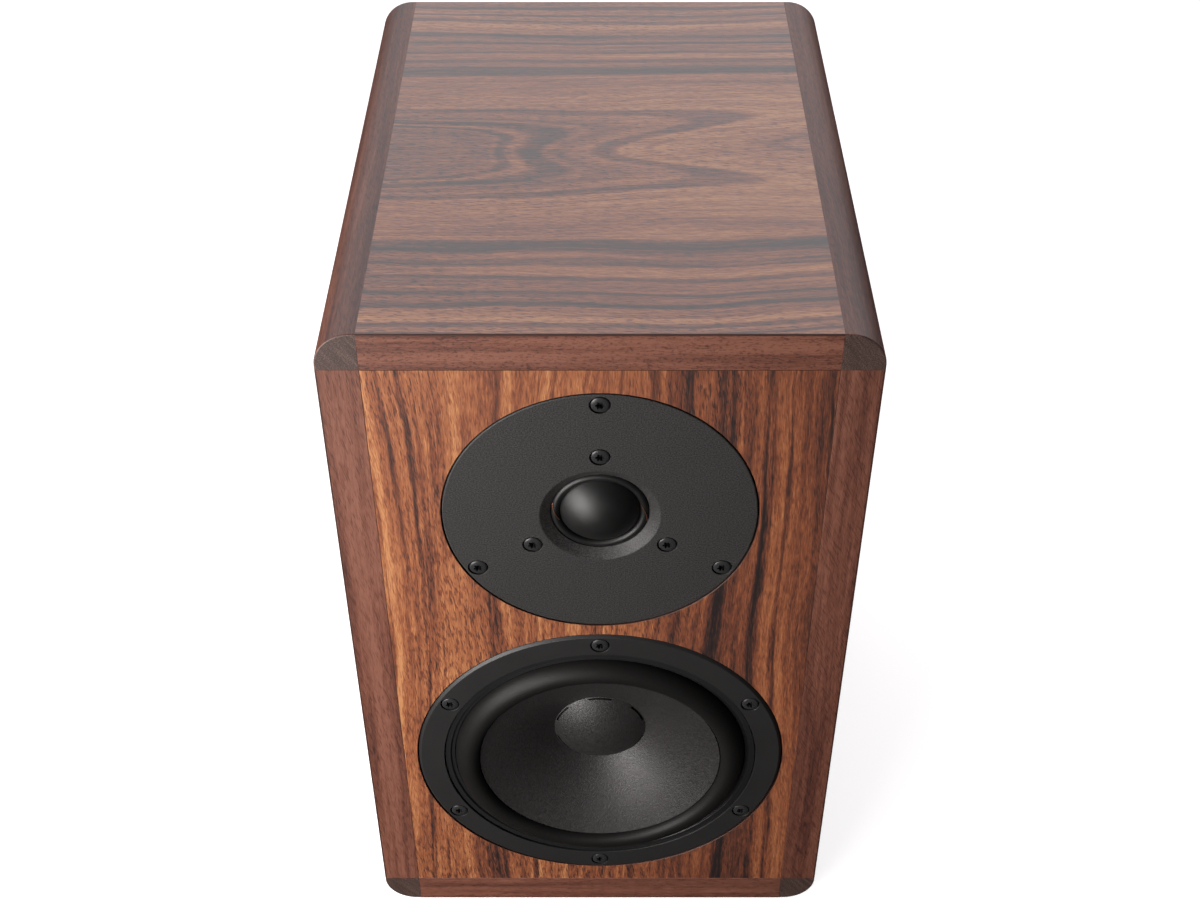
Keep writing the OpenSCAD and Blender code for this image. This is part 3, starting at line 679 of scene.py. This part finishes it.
def backdrop():
    """The floor, and a round wall far behind it that casts no shadow."""
    reach, height, sides = 6.0, 8.0, 48
    turns = [math.tau * k / sides for k in range(sides)]
    ring = [(reach * math.cos(a), reach * math.sin(a)) for a in turns]
    paper("floor", [(x, y, 0.0) for x, y in ring], [tuple(range(sides))], glow=0.62)
    verts = [(x, y, z) for z in (0.0, height) for x, y in ring]
    faces = [(k, (k + 1) % sides, sides + (k + 1) % sides, sides + k) for k in range(sides)]
    paper("wall", verts, faces, glow=0.90).visible_shadow = False


def softbox(name, place, aim, width, height, power, colour):
    light = bpy.data.lights.new(name, "AREA")
    light.shape = "RECTANGLE"
    light.size, light.size_y = width, height
    light.energy, light.color = power, colour
    lamp = bpy.data.objects.new(name, light)
    lamp.location = place
    lamp.rotation_euler = (Vector(aim) - Vector(place)).to_track_quat("-Z", "Y").to_euler()
    bpy.context.scene.collection.objects.link(lamp)


# ---------------------------------------------------------------- cabinet

ARRIS = 0.5  # millimetres, the tiny rounding of the cabinet's edges
HAIRLINE = 0.12  # millimetres, the broken edge at each joint on the front
EDGE_R = 13.0  # millimetres, the round outer corner of the edge rails
CLEAR = 1.0  # millimetres that a cutter runs past a face

# Dark bands in the veneer as (place, half width, strength), in metres.
TOP_ARCHES = (
    (0.0190, 0.0008, 0.6), (0.0222, 0.0020, 1.0), (0.0305, 0.0020, 0.8), (0.0600, 0.0048, 1.0),
    (0.0690, 0.0030, 0.7), (0.0775, 0.0014, 0.6), (0.0860, 0.0012, 0.6), (0.0925, 0.0020, 0.8),
    (0.1045, 0.0020, 0.8), (0.1100, 0.0012, 0.7), (0.1165, 0.0018, 0.9), (0.1230, 0.0012, 0.8),
    (0.1290, 0.0020, 0.9),
)
FRONT_STREAKS = (
    (-0.068, 0.0016, 0.7), (-0.038, 0.0050, 0.8), (-0.024, 0.0016, 0.6), (0.006, 0.0014, 0.6),
    (0.030, 0.0020, 0.7), (0.044, 0.0040, 0.9), (0.058, 0.0028, 1.0), (0.066, 0.0016, 0.8),
)


def veneered(node, mesh, material):
    return piece(node + "_veneered", mesh, material, "veneer", "cabinet", node)


def wooden(node, mesh, material, **settings):
    return piece(node + "_wood", mesh, material, "solid_wood", "cabinet", node, **settings)


def dark_edges(made, chosen):
    """The chosen faces of a veneered board get the dark finish of its cut edges."""
    made.data.materials.append(MATERIALS["veneer_edge"])
    for face in made.data.polygons:
        if chosen(face):
            face.material_index = 1


def panel(name, axis_name, side, material):
    """A veneered panel. Its profile runs front to back, with the veneer lapping over the front strip."""
    lo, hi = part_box(name)
    t, lap = PANEL / MM, LAP / MM
    front, back = FRONT_Y / MM, REAR_Y / MM
    step = front + t
    outline = [(back, 0), (back, t, ARRIS), (front, t, ARRIS), (front, t - lap), (step, t - lap), (step, 0)]
    flat = axis_name == "x"
    inner = (lo if side > 0 else hi)[2 if flat else 0] / MM
    ends = (lo.x, hi.x) if flat else (lo.z, hi.z)

    def place(u, v, d):
        out = (inner + side * v) * MM
        return Vector((d, u * MM, out)) if flat else Vector((out, u * MM, d))

    made = veneered(name, prism(name, soften(outline), place, *ends), material)
    dark_edges(made, lambda face: face.center.y < FRONT_Y + 0.9 * ARRIS * MM)


def board(name):
    """A node's box, its front edges broken by a hairline so that the joints show."""
    lo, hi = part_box(name)
    hair = HAIRLINE * MM
    rings = []
    for y, inset in ((lo.y, hair), (lo.y + hair, 0.0), (hi.y, 0.0)):
        left, right, bottom, top = lo.x + inset, hi.x - inset, lo.z + inset, hi.z - inset
        rings.append([(left, y, bottom), (right, y, bottom), (right, y, top), (left, y, top)])
    return lofted(name, rings)


def edge_rail(name, side, up, material):
    """A solid wood edge, front to back: its outer corner is round, its ends slightly rounded over."""
    flat = PANEL / MM - EDGE_R
    corner_x, corner_z = CABINET_HI.x - PANEL, CABINET_HI.z - PANEL if up > 0 else CABINET_LO.z + PANEL

    def ring(y, inset):
        t, r = PANEL / MM - inset, EDGE_R - inset
        outline = [(0, 0), (t, 0), *arc(flat, flat, r, r, 0, 90, 40), (0, t)]
        return [(side * (corner_x + u * MM), y, corner_z + up * v * MM) for u, v in outline]

    turns = [math.radians(18 * k) for k in range(6)]
    front = [(FRONT_Y + ARRIS * (1 - math.cos(a)) * MM, ARRIS * (1 - math.sin(a))) for a in turns]
    back = [(FRONT_Y + REAR_Y - y, inset) for y, inset in reversed(front)]
    wooden(name, lofted(name, [ring(y, inset) for y, inset in front + back]), material, sharp=50.0)


def driver_hole(axis, through, hole_r, rebate_r, rebate):
    """A cutter for a driver's hole and its rebate, with a tiny chamfer at the mouth."""
    low, high, chamfer_r = -0.12, 0.13, rebate_r + 0.25
    return turned("hole", axis, [
        (0, through), (hole_r, through), (hole_r, -rebate), (rebate_r, -rebate),
        (rebate_r, low), (chamfer_r, high), (chamfer_r, CLEAR), (0, CLEAR),
    ])


def baffle():
    lo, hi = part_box("front_baffle")
    through = -(hi.y - lo.y) / MM - CLEAR
    holes = [
        driver_hole(TWEETER, through, hole_r=37, rebate_r=55.5, rebate=5),
        driver_hole(WOOFER, through, hole_r=62.5, rebate_r=72.7, rebate=5.5),
    ]
    # slope=-0.9 makes the front veneer darker towards the right: painted shade for light falling from the
    # left.
    material = rosewood(
        "veneer_front", "z", 3.0, coat=0.35, lines=0.45, streaks=FRONT_STREAKS, slope=-0.9, lift=0.01,
    )
    made = veneered("front_baffle", cut(board("front_baffle"), holes), material)
    dark_edges(made, lambda face: abs(face.normal.y) < 0.95)


def rear_panel():
    lo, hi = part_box("rear_panel")
    outline = [(lo.x, lo.z), (hi.x, lo.z), (hi.x, hi.z), (lo.x, hi.z)]
    back = prism("rear_panel", outline, lambda u, v, d: Vector((u, d, v)), lo.y, hi.y)
    through = -(hi.y - lo.y) / MM - CLEAR
    flange_r, sleeve_r, rebate = 37.2, 30.7, 3.0
    port_hole = [
        (0, through), (sleeve_r, through), (sleeve_r, -rebate),
        (flange_r, -rebate), (flange_r, CLEAR), (0, CLEAR),
    ]
    holes = [
        turned("hole", PORT, port_hole),
        prism("hole", rounded_rect(84, 52, 6), TERMINAL.point, -rebate, CLEAR),
        prism("hole", rounded_rect(60, 28, 1), TERMINAL.point, through, 0.1 - rebate),
    ]
    veneered("rear_panel", cut(back, holes), rosewood("veneer_rear", "z", 7.0))


def cabinet():
    top = rosewood("veneer_top", "x", 0.0, lines=0.10, lift=0.09, pith=-0.0035, arches=TOP_ARCHES)
    panel("top_panel", "x", 1, top)
    panel("bottom_panel", "x", -1, rosewood("veneer_bottom", "x", 11.0))
    panel("left_panel", "z", -1, rosewood("veneer_left", "z", 5.0, coat=0.15))
    panel("right_panel", "z", 1, rosewood("veneer_right", "z", 9.0, coat=0.15))
    for side, along, seed, settings in (
        ("top", "x", 1.0, {"lift": 0.02, "lean": 0.35, "pore_depth": 0.26, "coat": 0.3}),
        ("bottom", "x", 2.0, {}),
        ("left", "z", 3.0, {"lift": 0.05, "coat": 0.3}),
        # lift=-0.05 darkens the right strip: painted shade for the side turned away from the light.
        ("right", "z", 4.0, {"lift": -0.05, "lean": 0.45, "coat": 0.3}),
    ):
        node = "front_strip_" + side
        wooden(node, board(node), solid_wood("strip_" + side, along, seed, **settings))
    seed = 5.0
    for height, up in (("top", 1), ("bottom", -1)):
        for hand, side in (("left", -1), ("right", 1)):
            where = f"{height}_{hand}"
            wood = solid_wood("rail_" + where, "y", seed, lift=-0.08, coat=0.3)
            edge_rail("edge_rail_" + where, side, up, wood)
            seed += 1.0
    baffle()
    rear_panel()


# ---------------------------------------------------------------- screws

HEAD_R, HEAD_H, BORE_R = 3.15, 2.3, 3.65


def counterbore(axis, r, degrees, top, shank_r, depth=6):
    """A cutter for a screw's place: a shank hole, a counterbore and a tiny chamfer at its mouth."""
    seat, chamfer = top - HEAD_H, 0.06
    mouth_r = BORE_R + 2 * chamfer
    return turned("bore", axis.spot(r, degrees), [
        (0, -depth), (shank_r, -depth), (shank_r, seat), (BORE_R, seat),
        (BORE_R, top - chamfer), (mouth_r, top + chamfer), (mouth_r, top + 2), (0, top + 2),
    ], SMALL_TURNS)


def screw(spot, base, shank_r, length, r=HEAD_R, h=HEAD_H, twist=0.0):
    """A domed screw with a six-lobed socket, its head resting at height base."""
    tip = base - length
    crown = arc(0, base + h * 0.84, r, h * 0.28, 12, 90, 14)
    shank = [(0, tip), (shank_r * 0.4, tip), (shank_r, tip + 1.5), (shank_r, base)]
    head = turned("screw", spot, [*shank, (r, base), *crown[:-1], (0, crown[-1][1])], SMALL_TURNS)

    def lobes(scale, height):
        ring = []
        for a in range(0, 360, 5):
            reach = scale * r * (0.44 + 0.09 * math.cos(math.radians(6 * a)))
            turn = math.radians(a + twist)
            ring.append(spot.point(reach * math.cos(turn), reach * math.sin(turn), base + h * height))
        return ring

    return cut(head, [lofted("socket", [lobes(1.0, 0.20), lobes(1.0, 0.98), lobes(1.12, 1.25)])])


def screws(name, axis, r, angles, top, shank_r, length):
    made = [
        screw(axis.spot(r, a), top - HEAD_H, shank_r, length, twist=17.0 * k * k)
        for k, a in enumerate(angles)
    ]
    detailed(name, joined(name, made), "screw_black", sharp=40.0, weighted=False)


# ---------------------------------------------------------------- tweeter

TWEETER_BASE = -3.5  # the height of the dome's rim
TWEETER_ROLL_R, TWEETER_ROLL_HALF = 15.75, 1.5
TWEETER_MOVING_R, TWEETER_STILL_R = 14.3, 17.25  # the radii given to flex for the surround and the leads
MOUNT_R, ASSEMBLY_R = 50.4, 27.5  # the circles of the outer and the inner screws
THREE = (90, 210, 330)


def cap_rise(r, rim, height):
    """How high a shallow dome stands at radius r."""
    big = (rim * rim + height * height) / (2 * height)
    return math.sqrt(big * big - r * r) - big + height


def tweeter_faceplate():
    plate = turned("tweeter_faceplate", TWEETER, soften([
        (17.4, -2.6, 0.15), (21.15, 0, 0.35), (55, 0, 0.55), (55, -4), (21, -4), (21, -3.4), (17.4, -3.4),
    ]))
    bores = [counterbore(TWEETER, MOUNT_R, a, top=0, shank_r=1.85) for a in THREE]
    bores += [counterbore(TWEETER, ASSEMBLY_R, a, top=0, shank_r=1.55) for a in THREE]
    detailed("tweeter_faceplate", cut(plate, bores), "plate_black")
    screws("tweeter_mounting_screws", TWEETER, MOUNT_R, THREE, top=0, shank_r=1.8, length=14)
    screws("tweeter_assembly_screws", TWEETER, ASSEMBLY_R, THREE, top=0, shank_r=1.5, length=5)


def tweeter_dome():
    rim, height, thick, steps = 14.2, 7.6, 0.3, 40
    inside, foot = rim - thick, TWEETER_BASE - 4
    outer_radii = [rim * (1 - k / steps) for k in range(steps + 1)]
    inner_radii = [inside * k / steps for k in range(steps + 1)]
    outer = [(r, TWEETER_BASE + cap_rise(r, rim, height)) for r in outer_radii]
    inner = [(r, TWEETER_BASE - thick + cap_rise(r, rim, height)) for r in inner_radii]
    dome = turned("tweeter_dome", TWEETER, [(rim, foot), *outer, *inner, (inside, foot)], MEDIUM_TURNS)
    detailed("tweeter_dome", dome, "dome_fabric", "tweeter_moving")


def tweeter_surround():
    thick, outer_r, inner_z = 0.3, 20.8, TWEETER_BASE - 0.7
    thin = TWEETER_ROLL_HALF - thick
    over = arc(TWEETER_ROLL_R, TWEETER_BASE, TWEETER_ROLL_HALF, TWEETER_ROLL_HALF, 0, 180, 28)
    under = arc(TWEETER_ROLL_R, TWEETER_BASE - thick, thin, TWEETER_ROLL_HALF, 180, 0, 28)
    ring = turned("tweeter_surround", TWEETER, [
        (outer_r, TWEETER_BASE), *over, (14.25, inner_z), (TWEETER_ROLL_R - thin, inner_z), *under,
        (TWEETER_ROLL_R + thin, -4), (outer_r, -4),
    ], MEDIUM_TURNS)
    roll = detailed("tweeter_surround", ring, "dome_fabric", ride=False)
    flex(roll, TWEETER, TWEETER_MOVING_R, TWEETER_STILL_R)


def tweeter_leads():
    """Two thin wires that cross the surround on opposite sides of the dome."""
    wire_r, steps = 0.13, 24
    lift = TWEETER_ROLL_HALF + wire_r + 0.06
    wires = []
    for turn in (0, 180):
        points = []
        for k in range(steps + 1):
            t = k / steps
            phi = math.radians(130 - 90 * t)
            r = TWEETER_ROLL_R + lift * math.cos(phi)
            points.append(TWEETER.at(r, turn + 14 - 28 * t, TWEETER_BASE + lift * math.sin(phi)))
        wires.append(tube("lead", points, wire_r * MM))
    mesh = joined("tweeter_lead_wires", wires)
    leads = detailed("tweeter_lead_wires", mesh, "copper", weighted=False, ride=False)
    flex(leads, TWEETER, TWEETER_MOVING_R, TWEETER_STILL_R)


# ---------------------------------------------------------------- woofer

SIX = (30, 90, 150, 210, 270, 330)
WOOFER_SCREW_R, RIM_Z = 67, 0.5  # the circle of the screws, and the height of the flange's face
LEDGE, RUBBER = -2.4, 0.8  # the height the surround is glued at, and how thick it is
CONE_EDGE_R, CONE_EDGE_Z = 47.7, 1.5
CONE_NECK_R, CONE_NECK_Z = 18.5, -16.0
CONE_SKIN, CONE_BULGE = 0.8, 1.2
ROLL_R, ROLL_HALF, ROLL_H = 52.8, 4.8, 4.8


def cone_face(t):
    """The cone's profile, from its edge at 0 to its neck at 1."""
    return (
        CONE_EDGE_R + (CONE_NECK_R - CONE_EDGE_R) * t,
        CONE_EDGE_Z + (CONE_NECK_Z - CONE_EDGE_Z) * t + CONE_BULGE * math.sin(math.pi * t),
    )


def woofer_frame():
    rim = 72.25
    profile = soften([
        (57.8, LEDGE), (62, LEDGE), (62, RIM_Z, 0.2), (rim - 1, RIM_Z, 0.25), (rim, -0.5, 0.2), (rim, -4.5),
        (61.5, -4.5), (61, -8, 1), (46, -33, 1), (46, -40), (30, -40), (30, -37), (37, -37), (37, -29),
        (43, -29), (57.5, -6),
    ])
    window = [(38, -13), (70, -13), (70, 13), (38, 13)]
    cutters = [counterbore(WOOFER, WOOFER_SCREW_R, a, RIM_Z, shank_r=1.85) for a in SIX]
    cutters += [prism("window", window, WOOFER.turned_point(a), low=-27, high=-9) for a in SIX]
    detailed("woofer_basket", cut(turned("woofer_basket", WOOFER, profile), cutters), "frame_black")

    base = LEDGE + RUBBER
    high, low = base + 1.4, base + 0.7
    clamp = soften([
        (57.8, base), (61.7, base), (61.7, high, 0.22),
        (59.6, high, 0.22), (59.2, low, 0.1), (57.8, low, 0.25),
    ])
    detailed("woofer_clamp_ring", turned("woofer_clamp_ring", WOOFER, clamp), "clamp_black")
    screws("woofer_screws", WOOFER, WOOFER_SCREW_R, SIX, RIM_Z, shank_r=1.8, length=14)


def woofer_surround():
    outer_r, outer_z, inner_z = 61.5, LEDGE + RUBBER, CONE_EDGE_Z - CONE_SKIN

    def roll(half, drop, a):
        turn = math.radians(a)
        lean = (outer_z + inner_z) / 2 + (outer_z - inner_z) / 2 * math.cos(turn)
        return (ROLL_R + half * math.cos(turn), lean - drop + ROLL_H * math.sin(turn))

    angles = [180.0 * k / 60 for k in range(61)]
    over = [roll(ROLL_HALF, 0, a) for a in angles]
    under = [roll(ROLL_HALF - RUBBER, RUBBER, a) for a in reversed(angles)]
    glued, gap = 0.04, 0.02  # how far the lip reaches down the cone, and how far below its skin
    lip_r, lip_z = cone_face(glued)[0], cone_face(glued)[1] - CONE_SKIN - gap
    lip = [(CONE_EDGE_R, inner_z), (lip_r, lip_z), (lip_r, lip_z - RUBBER)]
    ring = turned("woofer_surround", WOOFER, [(outer_r, outer_z), *over, *lip, *under, (outer_r, LEDGE)])
    surround = detailed("woofer_surround", ring, "surround_rubber", ride=False)
    flex(surround, WOOFER, moving_r=48.1, still_r=57.6)


def woofer_cone():
    steps, cap_steps, cap_h = 48, 28, 6.0
    radii = [CONE_NECK_R * (1 - k / cap_steps) for k in range(1, cap_steps + 1)]
    cap = [(r, CONE_NECK_Z + cap_rise(r, CONE_NECK_R, cap_h)) for r in radii]
    face = [cone_face(k / steps) for k in range(steps + 1)] + cap
    back = [(r, z - CONE_SKIN) for r, z in reversed(face)]
    shell = turned("woofer_cone", WOOFER, soften([(*face[0], 0.2), *face[1:], *back[:-1], (*back[-1], 0.1)]))
    slot_in, slot_out, half_turn = 17.55, 18.15, 15
    slots = []
    for a in SIX:
        start, end = a - half_turn, a + half_turn
        outline = arc(0, 0, slot_in, slot_in, start, end, 12) + arc(0, 0, slot_out, slot_out, end, start, 12)
        slots.append(prism("slot", outline, WOOFER.point, CONE_NECK_Z - 3, CONE_NECK_Z + 3))
    collar = turned("collar", WOOFER, [(16.35, -19), (17.4, -19), (17.4, -16.2), (16.35, -15.7)], 128)
    body = joined("woofer_cone", [cut(shell, slots), collar])
    detailed("woofer_cone", body, "cone_black", "woofer_moving")


def smooth_route(points, steps=10):
    """A smooth path through points."""
    ends = [points[0] * 2 - points[1], *points, points[-1] * 2 - points[-2]]
    made = []
    for a, b, c, d in zip(ends, ends[1:], ends[2:], ends[3:]):
        for k in range(steps):
            t = k / steps
            swing = (c - a) * t + (a * 2 - b * 5 + c * 4 - d) * t ** 2 + (b * 3 - a - c * 3 + d) * t ** 3
            made.append(b + swing / 2)
    return [*made, points[-1]]


def woofer_leads():
    """Two braided leads from the terminals to the coil."""
    route = [
        (48.5, 5, -35.1), (50.6, 9, -30), (49.6, 17.4, -24.5), (42, 20, -20.5), (30, 11, -20), (17, 3, -22),
    ]
    wires = []
    for side in (1, -1):
        points = [WOOFER.point(x, side * up, height) for x, up, height in route]
        wires.append(tube("lead", smooth_route(points), 0.6 * MM))
    mesh = joined("woofer_tinsel_leads", wires)
    leads = detailed("woofer_tinsel_leads", mesh, "copper", weighted=False, ride=False)
    flex(leads, WOOFER, moving_r=19.5, still_r=44.0)


# ---------------------------------------------------------------- port and terminals


def port():
    r, flare, wall_r, sleeve_r, depth = 24.0, 12.0, 26.5, 30.5, 100
    turns = [math.radians(3 * k) for k in range(31)]
    throat = [(r + flare - flare * math.cos(a), -flare + flare * math.sin(a)) for a in turns]
    flange = soften([(36.2, 0), (37, 0, 0.3), (37, -3), (sleeve_r, -3)])[1:]
    tube_mesh = turned("port_tube", PORT, [
        (r, -depth), *throat, *flange, (sleeve_r, -15), (wall_r, -15), (wall_r, -depth),
    ], MEDIUM_TURNS)
    detailed("port_tube", tube_mesh, "port_plastic", sharp=45.0)


def terminal_plate():
    width, height, corner, thick, edge = 83.4, 51.4, 6, 3.0, 0.4
    layers = [(0.0, -thick)]
    for k in range(5):
        a = math.radians(22.5 * k)
        layers.append((edge * (1 - math.cos(a)), -edge * (1 - math.sin(a))))
    rings = []
    for inset, level in layers:
        outline = rounded_rect(width - 2 * inset, height - 2 * inset, corner - inset)
        rings.append([TERMINAL.point(u, v, level) for u, v in outline])
    corners = [(x, up) for x in (-36, 36) for up in (-20, 20)]
    holes = [prism("hole", circle(x, up, 1.65), TERMINAL.point, -4, CLEAR) for x, up in corners]
    post_hole = [(0, -4), (4.55, -4), (4.55, CLEAR), (0, CLEAR)]
    holes += [turned("hole", post, post_hole, SMALL_TURNS) for post in (POSITIVE, NEGATIVE)]
    plate = cut(lofted("terminal_plate", rings), holes)
    detailed("terminal_plate", plate, "anodised", slot="plate_black")
    heads = [
        screw(TERMINAL.moved(x, up), 0, 1.6, 11.5, r=3.0, h=2.0, twist=23.0 * k)
        for k, (x, up) in enumerate(corners)
    ]
    mesh = joined("terminal_screws", heads)
    detailed("terminal_screws", mesh, "screw_black", sharp=40.0, weighted=False)


def binding_posts():
    bush = soften([
        (4.05, -3), (4.5, -3), (4.5, 0), (8, 0), (8, 2.5, 0.5), (5.2, 2.5, 0.2), (5.0, 2.3), (4.05, 2.3),
    ])
    inner_bush = [(4.05, -5), (7, -5), (7, -3), (4.05, -3)]
    washer = soften([(4.3, 2.5), (6.8, 2.5, 0.2), (6.8, 4.0, 0.2), (4.3, 4.0)])
    studs, bushes = [], []
    for post in (POSITIVE, NEGATIVE):
        studs.append(threaded_stud(post))
        bushes.append(turned("bush", post, bush, POST_TURNS))
        bushes.append(turned("inner_bush", post, inner_bush, SMALL_TURNS))
    mesh = joined("terminal_studs", studs)
    detailed("terminal_studs", mesh, "gold_plate", sharp=45.0, weighted=False)
    detailed("terminal_insulators", joined("terminal_insulators", bushes), "black_plastic")
    posts = ((POSITIVE, "positive", "red_plastic"), (NEGATIVE, "negative", "black_plastic"))
    for post, word, plastic in posts:
        ring = turned(word + "_washer", post, washer, POST_TURNS)
        detailed(word + "_washer", ring, "gold_plate", word + "_clamp")
        detailed(word + "_knob", knob_mesh(word + "_knob", post), plastic, word + "_grip", sharp=40.0)


def threaded_stud(post):
    """A hollow stud with a rolled thread and a cross hole for bare wire."""
    pitch, depth, stud_r, low, high = 1.0, 0.35, 4.0, -20, 22

    def thread(a, r, h):
        if r < stud_r - 0.1:
            return r
        phase = (h / pitch - a / 360.0) % 1.0
        return r - depth * abs(2 * phase - 1)

    steps = (high - low) * 8
    outside = [(stud_r, low + (high - low) * k / steps) for k in range(steps + 1)]
    outline = [(0, low), *outside, (2.5, high), (2.0, high - 0.5), (2.0, 4.0), (0, 4.0)]
    hole = prism("hole", circle(0, 0, 1.5), lambda u, v, d: post.point(d, u, 4.5 + v), -6, 6)
    return cut(turned("stud", post, outline, SMALL_TURNS, wobble=thread), [hole])


def knob_mesh(name, post):
    """A round grip with shallow flutes, a plain collar and a dished end."""
    low, high, flute, fade_in = 7.5, 23.2, 0.38, 0.8

    def flutes(a, r, h):
        if r < 6.2 or not low < h < high:
            return r
        fade = min(1.0, (h - low) / fade_in, (high - h) / fade_in)
        return r - flute * fade * max(0.0, math.cos(math.radians(16 * a))) ** 2

    outline = soften([
        (4.05, 4.0), (6.7, 4.0, 0.3), (6.7, 6.3, 0.2), (6.3, 6.5, 0.1), (6.3, 7.0, 0.1), (7.0, 7.1, 0.2),
    ])
    outline += [(7.0, 7.4 + 0.4 * k) for k in range(1, 41)]
    outline += soften([(7.0, 23.6), (6.4, 24.0, 0.4), (5.2, 24.0, 0.3), (4.05, 22.9, 0.2)])[1:]
    return turned(name, post, outline, MEDIUM_TURNS, wobble=flutes)


# ---------------------------------------------------------------- everything else keeps its CAD shape


def finish_cad_nodes():
    slots = {row["node"]: row["material_slot"] for row in frame["record"]["subparts"]}
    for name, obj in frame["nodes"].items():
        if obj.hide_render:
            continue
        material = MATERIALS[slots[name]]
        for place in obj.material_slots:
            place.link = "OBJECT"
            place.material = material


studio()
cabinet()
tweeter_faceplate()
tweeter_dome()
tweeter_surround()
tweeter_leads()
woofer_frame()
woofer_surround()
woofer_cone()
woofer_leads()
port()
terminal_plate()
binding_posts()
finish_cad_nodes()
